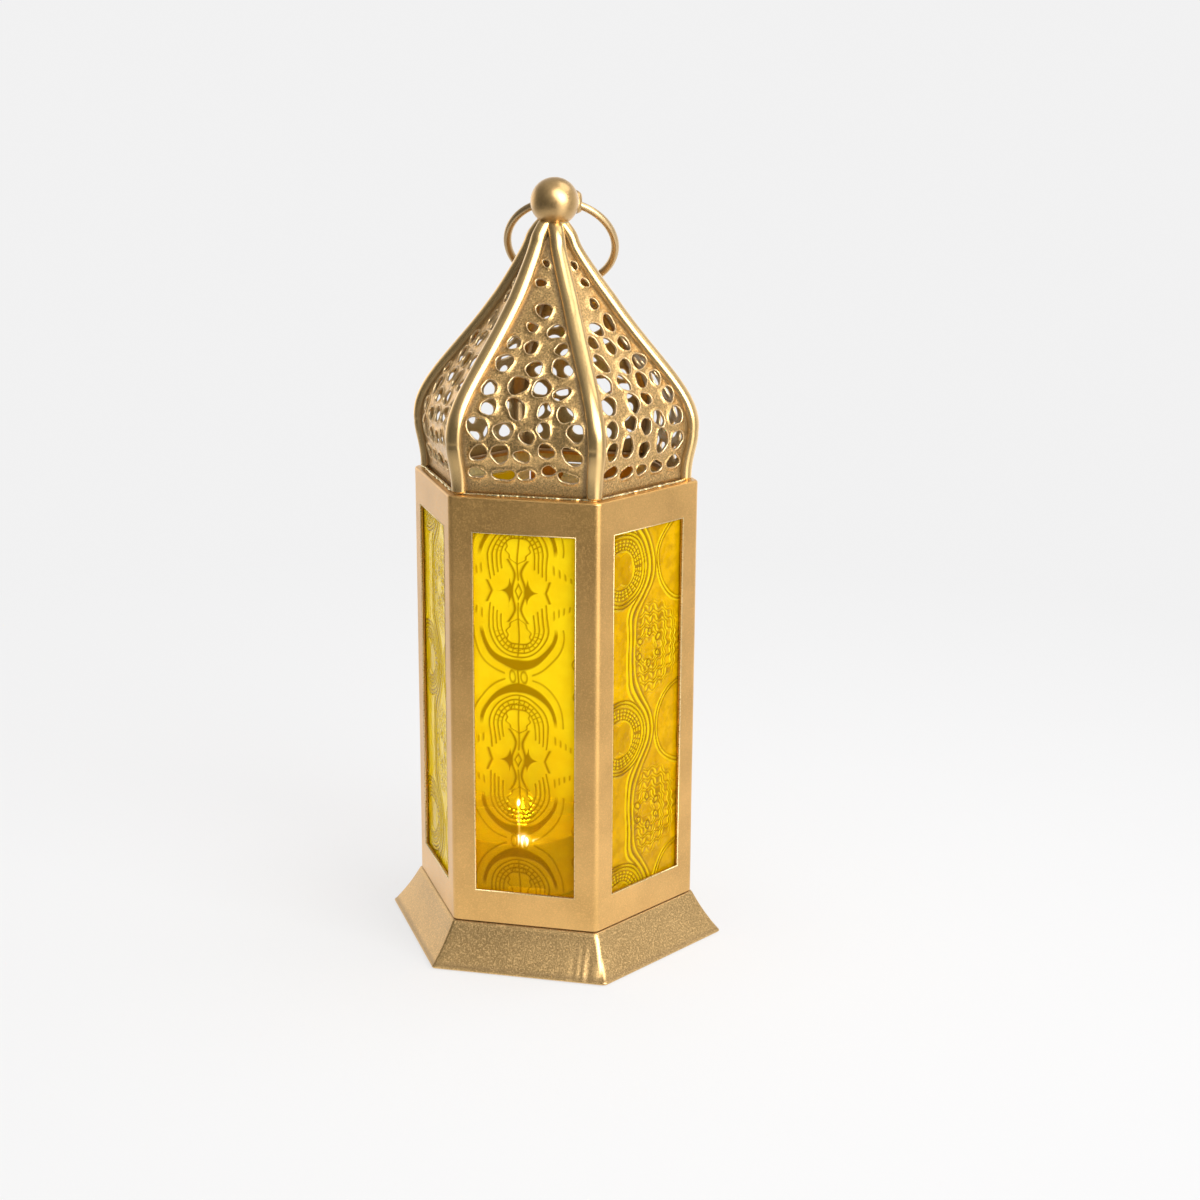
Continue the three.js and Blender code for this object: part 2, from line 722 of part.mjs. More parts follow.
// The eye is a strap rolled into a barrel behind the ball, and the ring turns in it.
function makeHanger() {
  const group = turnedGroup(ringAzimuth);
  const eyeOut = ballRadius + gap + eyeRadius;
  const eyeHeight = ballCentre - eyeDrop;
  const barrel = rod(eyeRadius, -eyeReachRight, eyeReachLeft, roundSides).rotateX(-Math.PI / 2);
  const strapFoot = neckTop + 2 * gap;
  const strap = acrossY(
    [
      [crownRadius + gap, strapFoot],
      [crownRadius + gap + eyeStrapSheet, strapFoot],
      [eyeOut, eyeHeight - eyeRadius],
      [eyeOut - eyeRadius / 2, eyeHeight - eyeRadius / 2],
      [crownRadius + gap, strapFoot + eyeStrapSheet],
    ],
    -eyeStrapWidth / 2,
    eyeStrapWidth / 2,
  );
  const bore = rod(eyeBoreRadius, -2 * eyeReachRight, 2 * eyeReachRight, roundSides);
  const eye = solid(barrel.translate(eyeOut, 0, eyeHeight))
    .add(solid(strap))
    .subtract(solid(bore.rotateX(Math.PI / 2).translate(eyeOut, 0, eyeHeight)));
  addPiece(group, "hanger_eye", eye, satinGold);

  const chordDrop = ringRadius - Math.sqrt(ringRadius ** 2 - eyeReachRight ** 2);
  const pivot = new THREE.Group();
  pivot.position.set(eyeOut, 0, eyeHeight);
  pivot.rotation.y = radians(pole - ringLean);
  group.add(pivot);
  const torus = new THREE.TorusGeometry(ringRadius, ringWireRadius, ringSections, ringSteps);
  const ring = addPiece(pivot, "hanging_ring", solid(torus), brightGold);
  ring.position.x = ringRadius - chordDrop / 2;
}

function makeTealight() {
  const group = new THREE.Group();
  const angle = radians(candleAzimuth);
  group.position.set(candleOffset * Math.cos(angle), candleOffset * Math.sin(angle), floorTop + gap);
  lantern.add(group);
  const cup = [
    [0, 0],
    [cupRadius, 0],
    [cupRadius, cupHeight],
    [cupRadius - cupSheet, cupHeight],
    [cupRadius - cupSheet, cupSheet],
    [0, cupSheet],
  ];
  addPiece(group, "tealight_cup", solid(turned(cup, roundSides)), foil);

  const seat = cupSheet + gap;
  const waxRadius = cupRadius - cupSheet - gap;
  const waxTop = cupHeight - waxBelowRim;
  const wickBore = wickRadius + gap;
  const footTop = seat + wickFootSheet;
  const wax = [
    [wickFootRadius + gap, seat],
    [waxRadius, seat],
    [waxRadius, waxTop],
    [waxRadius / 2, waxTop - waxDish / 2],
    [wickBore, waxTop - waxDish],
    [wickBore, footTop + gap],
    [wickFootRadius + gap, footTop + gap],
  ];
  addPiece(group, "tealight_wax", solid(turned(wax, roundSides)), paraffin);
  const wickFoot = rod(wickFootRadius, seat, footTop, roundSides);
  addPiece(group, "wick_foot", solid(wickFoot), foil);
  const wick = rod(wickRadius, footTop + gap, waxTop - waxDish + wickHeight, wickSides);
  addPiece(group, "wick", solid(wick), charred);
}

makeSkirt();
makeCasing();
makeWindows();
makeDoor();
makeHinge("lower", doorBottom + hingeInset);
makeHinge("upper", doorTop - hingeInset - hingeHeight);
makeCatch();
makeRibs();
makeRoofSheets();
makeFinial();
makeHanger();
makeTealight();

export default lantern;
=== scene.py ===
"""A six-sided glazed candle lantern in gold-painted sheet metal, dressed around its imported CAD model.

Lengths are in millimetres in the lantern's own frame until add_piece turns them into metres. The front face
looks along -Y, and a face's own frame has x out from the axis, y across the face and z up.
"""
import json
import math

import bmesh
import bpy
import numpy as np
from mathutils import Matrix, Vector, noise
from mathutils.geometry import delaunay_2d_cdt

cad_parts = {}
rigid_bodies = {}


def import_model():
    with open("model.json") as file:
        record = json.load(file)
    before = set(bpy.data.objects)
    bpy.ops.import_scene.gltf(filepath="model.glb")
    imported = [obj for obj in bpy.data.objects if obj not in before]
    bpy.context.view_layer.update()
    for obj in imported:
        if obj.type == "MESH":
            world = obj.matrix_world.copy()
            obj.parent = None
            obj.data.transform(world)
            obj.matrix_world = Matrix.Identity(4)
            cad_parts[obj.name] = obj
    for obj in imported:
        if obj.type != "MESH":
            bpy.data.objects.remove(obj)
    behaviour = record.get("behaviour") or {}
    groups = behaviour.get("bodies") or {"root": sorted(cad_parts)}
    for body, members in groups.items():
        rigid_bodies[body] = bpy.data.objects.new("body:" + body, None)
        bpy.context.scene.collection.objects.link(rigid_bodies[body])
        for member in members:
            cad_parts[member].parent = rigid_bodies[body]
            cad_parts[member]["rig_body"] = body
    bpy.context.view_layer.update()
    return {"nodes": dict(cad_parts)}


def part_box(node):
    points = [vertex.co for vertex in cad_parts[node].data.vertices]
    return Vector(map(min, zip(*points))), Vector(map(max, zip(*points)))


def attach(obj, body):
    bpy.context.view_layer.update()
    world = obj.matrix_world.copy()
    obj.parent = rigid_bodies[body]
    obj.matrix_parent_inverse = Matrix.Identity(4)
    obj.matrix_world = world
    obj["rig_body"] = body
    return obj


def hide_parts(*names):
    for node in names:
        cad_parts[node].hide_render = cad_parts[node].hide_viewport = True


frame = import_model()

MM = 0.001
SIDES = 6
HALF_SIDE = math.pi / SIDES
FRONT_ANGLE = -90
DOOR_FACE = 3
GAP = 0.3
NEAR = 0.01

# Sizes that the frame doesn't show on its own boxes
BODY_SHEET = 0.7
BODY_BEND = 2.0
TOP_FLANGE_CORNER = 31.0
TOP_EDGE_BEND = 0.6
GLASS_LAP = 2.7
DOOR_GAP = 0.4
SKIRT_FLANGE_CORNER = 33.0
SKIRT_TOP_CORNER = 37.3
SKIRT_SHEET = 0.9
HEM_HEIGHT = 1.0
HEM_WIDTH = 3.2
SKIRT_BEND = 0.8
SKIRT_CREASED_BEND = 1.7
SKIRT_HOLLOW = 0.4
SKIRT_CREASE_DEPTH = 0.2

# Roof: the line of the ribs' centres as radius and rise from the roof's foot
FOOT_RADIUS = 33.6
FOOT_BEND = 6.5
BELLY_RADIUS = 35.3
BELLY_RISE = 13.1
BELLY_BEND_BELOW = 5.1
BELLY_BEND_ABOVE = 11.4
NECK_RADIUS = 2.9
ROOF_HEIGHT = 61.2
NECK_BEND = 29.6
NECK_SPREAD = 16.4
NECK_LEAN = 0.7
RIB_RADIUS = 1.65
RIB_HALF_WIDTH = 2.3
RIB_TAPER = 14.0
RIB_NECK_HALF_WIDTH = 1.95
PANEL_RISE = 55.5
PANEL_HALF_SHEET = 0.45

# Pierced pattern on the unrolled roof sheet
HOLE_ROW_PITCH = 5.5
HOLE_PITCH = 6.1
HOLE_RADIUS_LOW = 2.55
HOLE_RADIUS_TOP = 1.3
HOLE_WEB = 1.0
HOLE_FOOT_MARGIN = 5.0
HOLE_TIP_MARGIN = 2.4
HOLE_EDGE_MARGIN = 0.7
HOLE_SHAKE = 3.0
HOLE_SHARES = (0.68, 1.18)
HOLE_STRETCHES = (0.82, 1.22)
HOLE_LEAST_RADIUS = 0.5
HOLE_SETTLING = 60
HOLE_PUSH = 0.3
FLAT_HOLES_BELOW = 7.0
FLAT_HOLE_SHARE = 0.62

# Finial, ring and candle
BALL_RADIUS = 5.7
BALL_SWELL = 0.3
EYE_RADIUS = 2.8
EYE_DROP = 1.7
EYE_REACH = 7.2
RING_RADIUS = 12.95
RING_WIRE = 1.0
RING_AZIMUTH = 100
RING_LEAN = 32
RING_OVAL = 1.7
RING_OVAL_TURN = math.radians(-65)
FLAME_HEIGHT = 5.0
FLAME_RADIUS = 0.5
FLAME_OFFSET = 0.5

# Camera as fitted to the photograph's 1200 pixel frame
PHOTO_SIDE = 1200
FOCAL_PIXELS = 2117.7
CAMERA_DISTANCE = 546.7
CAMERA_AZIMUTH = 12.25
CAMERA_ELEVATION = 15.43
CAMERA_ROLL = 0.36
CAMERA_TARGET = (11.49, 2.49, 88.28)


def box(node):
    """The lowest and highest corner of a CAD node, in millimetres."""
    low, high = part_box(node)
    return np.array(low) / MM, np.array(high) / MM


body_low, body_high = box("body_frame")
BODY_BOTTOM, BODY_TOP = body_low[2], body_high[2]
BODY_FACE = body_high[1]
BODY_CORNER = BODY_FACE / math.cos(HALF_SIDE)
skirt_low, skirt_high = box("base_skirt")
BASE_CORNER, SKIRT_TOP = skirt_high[0], skirt_high[2]
glass_low, glass_high = box("glass_pane_1")
GLASS_SEAT = -glass_low[1]
GLASS_THICKNESS = glass_high[1] - glass_low[1]
WINDOW_HALF = glass_high[0] - GLASS_LAP
WINDOW_BOTTOM, WINDOW_TOP = glass_low[2] + GLASS_LAP, glass_high[2] - GLASS_LAP
door_low, door_high = box("door_frame")
DOOR_HALF, DOOR_BOTTOM, DOOR_TOP = door_high[0], door_low[2], door_high[2]
ROOF_FOOT = box("dome_rib_1")[0][2]
NECK_TOP = ROOF_FOOT + ROOF_HEIGHT
BALL_CENTRE = box("finial_ball")[1][2] - BALL_RADIUS
EYE_OUT = BALL_RADIUS + GAP + EYE_RADIUS
EYE_HEIGHT = BALL_CENTRE - EYE_DROP


def face_angle(face):
    """A face's direction in degrees. Faces are counted from the front one, counter-clockwise."""
    return FRONT_ANGLE + 360 / SIDES * face


def turned(points, degrees):
    """Points of a face's own frame in the lantern's frame."""
    c, s = math.cos(math.radians(degrees)), math.sin(math.radians(degrees))
    x, y, z = np.asarray(points, float).T
    return np.stack([c * x - s * y, s * x + c * y, z], axis=1)


def scatter(seed):
    """A repeatable value from 0 to 1."""
    wave = math.sin(seed * 127.1 + 311.7) * 43758.5453
    return wave - math.floor(wave)


def lerp(low, high, share):
    return low + (high - low) * share


def clamp(value, low, high):
    return max(low, min(high, value))


def hump(distance, width):
    """1 at no distance, falling smoothly to 0 over a few widths."""
    return np.exp(-((distance / width) ** 2))


def between(value, low, high, soft=0.25):
    """1 where a value lies between two limits, with soft ends."""
    return np.clip((value - low) / soft + 0.5, 0, 1) * np.clip((high - value) / soft + 0.5, 0, 1)


def direction(azimuth, elevation):
    """The direction to a place around the lantern, in degrees. Azimuth 0 is in front and 90 to the right."""
    a, e = math.radians(azimuth), math.radians(elevation)
    return Vector((math.sin(a) * math.cos(e), -math.cos(a) * math.cos(e), math.sin(e)))


def smooth_noise(points, size, seed):
    """Smooth noise from about -1 to 1 at each point, with lumps of a size."""
    shift = Vector((seed * 7.3, seed * 3.1, seed * 5.7))
    return np.array([noise.noise(Vector(p) / size + shift) for p in np.asarray(points, float)])


def linked(name, data):
    """A new object in the scene for a mesh, a camera or a lamp."""
    made = bpy.data.objects.new(name, data)
    bpy.context.scene.collection.objects.link(made)
    return made


def add_piece(name, points, faces, material, body="root", replaces=(), values=None, flat=(), outward=False):
    """A mesh piece from points in millimetres. values are named numbers per point for its material, flat
    lists the faces that aren't smooth, and outward makes all faces point outwards."""
    mesh = bpy.data.meshes.new(name)
    mesh.from_pydata((np.asarray(points, float) * MM).tolist(), [], faces)
    smooth = np.ones(len(mesh.polygons), bool)
    smooth[list(flat)] = False
    mesh.polygons.foreach_set("use_smooth", smooth)
    for label, numbers in (values or {}).items():
        attribute = mesh.attributes.new(label, "FLOAT", "POINT")
        attribute.data.foreach_set("value", np.asarray(numbers, np.float32))
    mesh.materials.append(material)
    if outward:
        shape = bmesh.new()
        shape.from_mesh(mesh)
        bmesh.ops.recalc_face_normals(shape, faces=shape.faces)
        shape.to_mesh(mesh)
        shape.free()
    return dress(linked(name, mesh), body, replaces)


def dress(piece, body, replaces):
    """Tells the frame what a piece rides on and what it replaces."""
    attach(piece, body)
    if replaces:
        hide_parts(*replaces)
    # The frame has finishes of the same names, so Blender adds a number to these after a dot
    return piece


def rectangle(half, low, high):
    """The corners (across, up) of a rectangle, counter-clockwise."""
    return [(-half, low), (half, low), (half, high), (-half, high)]


def loft_faces(rings, columns, around=True, closed=False):
    """Quads between rings of points, each ring counter-clockwise seen from where the rings go."""
    faces = []
    for row in range(rings if closed else rings - 1):
        low, high = row * columns, (row + 1) % rings * columns
        for column in range(columns if around else columns - 1):
            after = (column + 1) % columns
            faces.append((low + column, low + after, high + after, high + column))
    return faces


def lathe(profile, segments, closed=False):
    """Points and faces of a profile of (radius, height) turned about Z; ends on the axis become poles."""
    points, rings = [], []
    for radius, height in profile:
        if radius < 1e-6:
            rings.append([len(points)])
            points.append((0, 0, height))
            continue
        rings.append(list(range(len(points), len(points) + segments)))
        for k in range(segments):
            angle = 2 * math.pi * k / segments
            points.append((radius * math.cos(angle), radius * math.sin(angle), height))
    faces = []
    for low, high in zip(rings, rings[1:] + rings[:1] if closed else rings[1:]):
        for k in range(segments):
            after = (k + 1) % segments
            corners = [low[k % len(low)], low[after % len(low)], high[after % len(high)], high[k % len(high)]]
            faces.append(tuple(dict.fromkeys(corners)))
    return np.array(points, float), faces


def arc(centre, radius, start, end, count):
    """Points (radius, height) on an arc between two latitudes in degrees."""
    angles = np.radians(np.linspace(start, end, count))
    return [(centre[0] + radius * math.cos(a), centre[1] + radius * math.sin(a)) for a in angles]


def node(tree, kind, inputs=None, **settings):
    """A shader node with its settings, and inputs given as values or as sockets to link."""
    made = tree.nodes.new(kind)
    for key, value in settings.items():
        setattr(made, key, value)
    for key, value in (inputs or {}).items():
        if isinstance(value, bpy.types.NodeSocket):
            tree.links.new(value, made.inputs[key])
        else:
            made.inputs[key].default_value = value
    return made


def material(name):
    """A new material with an empty tree and its output node."""
    made = bpy.data.materials.new(name)
    made.use_nodes = True
    made.node_tree.nodes.clear()
    return made, made.node_tree, made.node_tree.nodes.new("ShaderNodeOutputMaterial")


def shaded_by(made, output, shader):
    """The material, once its shader is linked to its output."""
    made.node_tree.links.new(shader.outputs[0], output.inputs[0])
    return made


def grain(tree, size, detail=2.0):
    """A noise over the piece's own frame with grains of a size in millimetres."""
    place = node(tree, "ShaderNodeTexCoord").outputs["Object"]
    inputs = {"Vector": place, "Scale": 1 / (size * MM), "Detail": detail}
    return node(tree, "ShaderNodeTexNoise", inputs).outputs["Fac"]


def measured(tree, name):
    """The numbers that a piece has at its points under a name."""
    return node(tree, "ShaderNodeAttribute", attribute_name=name).outputs["Fac"]


def spread(tree, value, low, high, to_low=0.0, to_high=1.0):
    """A value's range from low to high stretched over another range, and held at its ends."""
    inputs = {"Value": value, "From Min": low, "From Max": high, "To Min": to_low, "To Max": to_high}
    return node(tree, "ShaderNodeMapRange", inputs).outputs["Result"]


def mixed(tree, share, first, second):
    """A colour between two others."""
    return node(tree, "ShaderNodeMix", {0: share, 6: first, 7: second}, data_type="RGBA").outputs[2]


def math_of(tree, operation, first, second):
    return node(tree, "ShaderNodeMath", {0: first, 1: second}, operation=operation).outputs[0]


def vector_math(tree, operation, *inputs, output=0):
    return node(tree, "ShaderNodeVectorMath", dict(enumerate(inputs)), operation=operation).outputs[output]


def chosen(tree, share, first, second):
    """A number between two others."""
    return node(tree, "ShaderNodeMix", {0: share, 2: first, 3: second}).outputs[0]


def bumps(tree, layers):
    """Bump nodes in a row from layers of height socket, strength or its socket, and depth in millimetres."""
    normal = None
    for height, strength, depth in layers:
        inputs = {"Height": height, "Strength": strength, "Distance": depth * MM}
        if normal:
            inputs["Normal"] = normal
        normal = node(tree, "ShaderNodeBump", inputs).outputs["Normal"]
    return normal


def gold_paint(name, color, roughness, size, grit, specks, dents, coat, rims=False):
    """Gold paint over sheet metal: grains of a size, as deep as grit, with paler specks and soft dents. It is
    darker and less metallic where a piece carries painted shade. With rims it is paler on a pierced sheet's
    rims as a painted highlight, and browner on its inner side."""
    made, tree, output = material(name)
    fine = grain(tree, size, 1.0)
    flecks = grain(tree, size * 0.6, 0.0)
    patches = grain(tree, 14.0, 3.0)
    dark = [c * 0.6 for c in color] + [1]
    light = [min(1, c * 1.3 + 0.05) for c in color] + [1]
    tone = mixed(tree, spread(tree, patches, 0.3, 0.7, 0.3, 0.6), dark, light)
    darker = mixed(tree, spread(tree, flecks, 0.32, 0.5, specks * 0.8, 0), tone, dark)
    shaded = mixed(tree, spread(tree, fine, 0.5, 0.68, 0, specks), darker, light)
    # Painted shade: the paint turns darker and less metallic where a piece's points carry it
    painted_shade = measured(tree, "painted_shade")
    metallic = spread(tree, painted_shade, 0, 1, 0.92, 0.3)
    if rims:
        inner = measured(tree, "inner")
        shaded = mixed(tree, inner, shaded, (0.38, 0.27, 0.1, 1))
        metallic = chosen(tree, inner, metallic, 0.35)
        # Painted highlight: paler paint on the rims of the holes
        rim_highlight = measured(tree, "rim_highlight")
        shaded = mixed(tree, spread(tree, rim_highlight, 0.4, 0.95, 0, 0.4), shaded, (1.0, 0.82, 0.52, 1))
    shaded = mixed(tree, spread(tree, painted_shade, 0, 1, 0, 0.92), shaded, (0.12, 0.075, 0.03, 1))
    uneven = min(1, 4 * specks)
    inputs = {
        "Base Color": shaded,
        "Metallic": metallic,
        "Roughness": spread(tree, fine, 0.32, 0.68, roughness - 0.05 * uneven, roughness + 0.08 * uneven),
        "Coat Weight": coat,
        "Coat Roughness": 0.28,
        "Normal": bumps(tree, [(patches, 0.5, dents), (fine, 1.0, grit)]),
    }
    return shaded_by(made, output, node(tree, "ShaderNodeBsdfPrincipled", inputs))


def amber_glass():
    """Pressed amber glass, darker in the lines of its relief. Its tone deepens a pane's amber as painted
    shade, the flanks that face the light get a paler amber as a painted highlight, and its glow is a painted
    glow that stands in for the flame's light gathered by the relief.
    """
    made, tree, output = material("amber_glass")
    relief = measured(tree, "relief")
    cloud = grain(tree, 5.0, 3.0)
    field = mixed(tree, spread(tree, cloud, 0.35, 0.65), (0.92, 0.69, 0.008, 1), (0.87, 0.61, 0.005, 1))
    tone = measured(tree, "tone")
    haze = measured(tree, "haze")
    amber = mixed(tree, spread(tree, cloud, 0.35, 0.65), (0.7, 0.42, 0.0, 1), (0.6, 0.345, 0.0, 1))
    ripple = spread(tree, grain(tree, 2.4, 3.0), 0.46, 0.6, 0, 0.5)
    amber = mixed(tree, ripple, amber, (0.44, 0.24, 0.0, 1))
    # Painted shade: tone deepens a pane's amber and its lines
    deep = mixed(tree, tone, field, amber)
    line = mixed(tree, tone, (0.34, 0.19, 0.0, 1), (0.24, 0.12, 0.0, 1))
    tint = mixed(tree, spread(tree, relief, 0.1, 0.9, 0, 0.95), deep, line)
    # Painted highlight: a paler amber on the relief's flanks that face the light
    flank_highlight = measured(tree, "flank_highlight")
    tint = mixed(tree, spread(tree, flank_highlight, 0.1, 0.7, 0, 0.9), tint, (1.0, 0.74, 0.01, 1))
    glow = measured(tree, "glow")
    pressed = spread(tree, tone, 0, 1, 0.18, 1.0)
    glow_color = mixed(tree, spread(tree, glow, 0.2, 1.2), (1.0, 0.66, 0.02, 1), (1.0, 0.95, 0.75, 1))
    inputs = {
        "Base Color": tint,
        "Roughness": 0.04,
        "IOR": 1.3,
        "Specular IOR Level": 0.2,
        "Specular Tint": (1.0, 0.8, 0.1, 1),
        "Transmission Weight": spread(tree, haze, 0, 1, 1, 0),
        "Emission Color": glow_color,
        "Emission Strength": glow,
        "Normal": bumps(tree, [(relief, pressed, 0.5), (grain(tree, 1.6, 2.0), pressed, 0.26)]),
    }
    shader = node(tree, "ShaderNodeBsdfPrincipled", inputs)
    clear = node(tree, "ShaderNodeBsdfTransparent", {"Color": tint})
    rays = node(tree, "ShaderNodeLightPath")
    inputs = {0: rays.outputs["Is Shadow Ray"], 1: shader.outputs[0], 2: clear.outputs[0]}
    return shaded_by(made, output, node(tree, "ShaderNodeMixShader", inputs))


def plain_paint(name, color, roughness, metallic=0.0, speckle=0.15, size=0.8, depth=0.03, **more):
    """A finish with a mottled tone, a grain and any other value set on the shader itself."""
    made, tree, output = material(name)
    mottle = grain(tree, size, 3.0)
    dark = [c * (1 - speckle) for c in color] + [1]
    light = [min(1, c * (1 + speckle)) for c in color] + [1]
    inputs = {
        "Base Color": mixed(tree, spread(tree, mottle, 0.3, 0.7), dark, light),
        "Metallic": metallic,
        "Roughness": spread(tree, mottle, 0.3, 0.7, roughness - 0.05, roughness + 0.05),
        "Normal": bumps(tree, [(mottle, 0.4, depth)]),
    }
    inputs.update(more)
    return shaded_by(made, output, node(tree, "ShaderNodeBsdfPrincipled", inputs))


def flame_light():
    """The flame: pale at its heart, deep yellow at its tip."""
    made, tree, output = material("flame_light")
    share = measured(tree, "height")
    color = mixed(tree, share, (1.0, 0.94, 0.85, 1), (1.0, 0.88, 0.65, 1))
    mottle = spread(tree, grain(tree, 3.0), 0.3, 0.7, 380.0, 440.0)
    return shaded_by(made, output, node(tree, "ShaderNodeEmission", {"Color": color, "Strength": mottle}))


# Name, colour, roughness, size and depth of the grains, amount of specks, depth of the dents, and coat
casing_paint = gold_paint("casing_paint", (0.69, 0.395, 0.112), 0.37, 0.4, 0.012, 0.3, 0.05, 0.18)
skirt_paint = gold_paint("skirt_paint", (0.57, 0.36, 0.132), 0.35, 0.42, 0.022, 0.75, 0.06, 0.1)
roof_paint = gold_paint("roof_paint", (0.63, 0.39, 0.135), 0.32, 0.45, 0.06, 1.0, 0.14, 0.2, rims=True)
rib_paint = gold_paint("rib_paint", (0.74, 0.48, 0.18), 0.23, 0.6, 0.002, 0.06, 0.05, 0.4)
fittings_paint = gold_paint("fittings_paint", (0.61, 0.385, 0.145), 0.32, 0.5, 0.004, 0.12, 0.02, 0.3)
ring_paint = gold_paint("ring_paint", (0.6, 0.41, 0.19), 0.34, 0.6, 0.0, 0.04, 0.0, 0.3)
solder_paint = gold_paint("solder_paint", (0.9, 0.66, 0.36), 0.22, 0.5, 0.06, 0.6, 0.1, 0.4)
# The paler gold of the window edges is a painted highlight
edge_highlight_paint = gold_paint("edge_highlight_paint", (0.9, 0.62, 0.3), 0.3, 0.5, 0.01, 0.3, 0.02, 0.4)
inner_tin = plain_paint("inner_tin", (0.8, 0.71, 0.38), 0.5, metallic=0.3)
glass = amber_glass()
candle_foil = plain_paint("candle_foil", (0.88, 0.78, 0.46), 0.35, metallic=0.8, speckle=0.08)
wax_look = {"speckle": 0.05, "size": 3.0, "depth": 0.01, "Subsurface Weight": 0.2}
candle_wax = plain_paint("candle_wax", (0.9, 0.78, 0.44), 0.12, **wax_look)
wick_cotton = plain_paint("wick_cotton", (0.06, 0.045, 0.035), 0.9, size=0.3, speckle=0.5, depth=0.1)
flame = flame_light()


def refined(node_name, paint, bevel=0.12):
    """A CAD node's solid again as clean faces with softened edges, in place of the node."""
    source = frame["nodes"][node_name]
    sharp_angle = math.radians(35)
    shape = bmesh.new()
    shape.from_mesh(source.data)
    bmesh.ops.remove_doubles(shape, verts=shape.verts, dist=1e-6)
    one_degree = math.radians(1)
    bmesh.ops.dissolve_limit(
        shape, angle_limit=one_degree, verts=shape.verts, edges=shape.edges, delimit={"NORMAL"}
    )
    sharp = [e for e in shape.edges if e.is_manifold and e.calc_face_angle() > sharp_angle]
    bmesh.ops.bevel(
        shape, geom=sharp, offset=bevel * MM, segments=2, affect="EDGES", profile=0.5, clamp_overlap=True
    )
    for face in shape.faces:
        face.smooth = True
    for edge in shape.edges:
        if edge.is_manifold and edge.calc_face_angle() > sharp_angle:
            edge.smooth = False
    mesh = bpy.data.meshes.new(node_name + "_dressed")
    shape.to_mesh(mesh)
    shape.free()
    mesh.materials.append(paint)
    return dress(linked(node_name + "_dressed", mesh), source["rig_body"], [node_name])


def hexagon_ring(corner, bends, flats, arc_steps):
    """Points (x, y) round a hexagon. bends are the six corners' radii, and flats[i] lists the places y across
    the face after corner i where the ring has a point."""
    points = []
    apothem = corner * math.cos(HALF_SIDE)
    for i in range(SIDES):
        angle = 2 * HALF_SIDE * i
        reach = corner - bends[i] / math.cos(HALF_SIDE)
        for k in range(arc_steps + 1):
            at = angle - HALF_SIDE + 2 * HALF_SIDE * k / arc_steps
            x = reach * math.cos(angle) + bends[i] * math.cos(at)
            points.append((x, reach * math.sin(angle) + bends[i] * math.sin(at)))
        c, s = math.cos(angle + HALF_SIDE), math.sin(angle + HALF_SIDE)
        points += [(apothem * c - across * s, apothem * s + across * c) for across in flats[i]]
    return points


def corner_index(face):
    """The corner that a face follows, counted from +X counter-clockwise."""
    return round((face_angle(face) - 30) / 60) % SIDES


def make_casing():
    """The folded casing with its windows, the door's opening and the turned-in top flange."""
    arc_steps = 6
    bends = [BODY_BEND] * SIDES
    flats, spans = [None] * SIDES, [None] * SIDES
    edge = BODY_CORNER * math.sin(HALF_SIDE) - BODY_BEND * math.tan(HALF_SIDE)
    for face in range(SIDES):
        half = DOOR_HALF + DOOR_GAP if face == DOOR_FACE else WINDOW_HALF
        flats[corner_index(face)] = [-(edge + half) / 2, *np.linspace(-half, half, 9), (edge + half) / 2]
        spans[corner_index(face)] = (-half, half)
    flat_count = len(flats[0])
    door_span = (DOOR_BOTTOM - DOOR_GAP, DOOR_TOP + DOOR_GAP)
    wall = [BODY_BOTTOM, door_span[0], *np.linspace(WINDOW_BOTTOM, WINDOW_TOP, 12), door_span[1]]
    rows = [(BODY_CORNER, z) for z in wall]
    for a in np.radians(np.linspace(0, 90, 4)):
        shrink = TOP_EDGE_BEND * (1 - math.cos(a)) / math.cos(HALF_SIDE)
        rows.append((BODY_CORNER - shrink, BODY_TOP - TOP_EDGE_BEND * (1 - math.sin(a))))
    rows.append((TOP_FLANGE_CORNER, BODY_TOP))
    points = []
    for corner, z in rows:
        points += [(x, y, z) for x, y in hexagon_ring(corner, bends, flats, arc_steps)]
    points = np.array(points)
    columns = len(points) // len(rows)
    in_corner = columns // SIDES
    faces = []
    for quad in loft_faces(len(rows), columns):
        column, row = quad[0] % columns, quad[0] // columns
        i, place = column // in_corner, column % in_corner
        low, high = rows[row][1], rows[(row + 1) % len(rows)][1]
        if arc_steps < place < arc_steps + flat_count:
            across = flats[i][place - arc_steps - 1]
            bottom, top = door_span if i == corner_index(DOOR_FACE) else (WINDOW_BOTTOM, WINDOW_TOP)
            inside = spans[i][0] - NEAR <= across < spans[i][1] - NEAR
            if inside and low >= bottom - NEAR and high <= top + NEAR:
                continue
        faces.append(quad)
    outward = points.copy()
    outward[:, 2] = 0
    outward /= np.linalg.norm(outward, axis=1)[:, None]
    on_wall = points[:, 2] < BODY_TOP - 1
    points = points - outward * (0.05 + 0.05 * smooth_noise(points, 22.0, 1))[:, None] * on_wall[:, None]
    piece = add_piece("casing", points, faces, casing_paint, replaces=["body_frame"])
    piece.data.materials.append(inner_tin)
    solid = piece.modifiers.new("sheet", "SOLIDIFY")
    solid.material_offset = 1
    solid.thickness = BODY_SHEET * MM
    solid.offset = -1
    solid.use_even_offset = True
    soften(piece, 0.16)


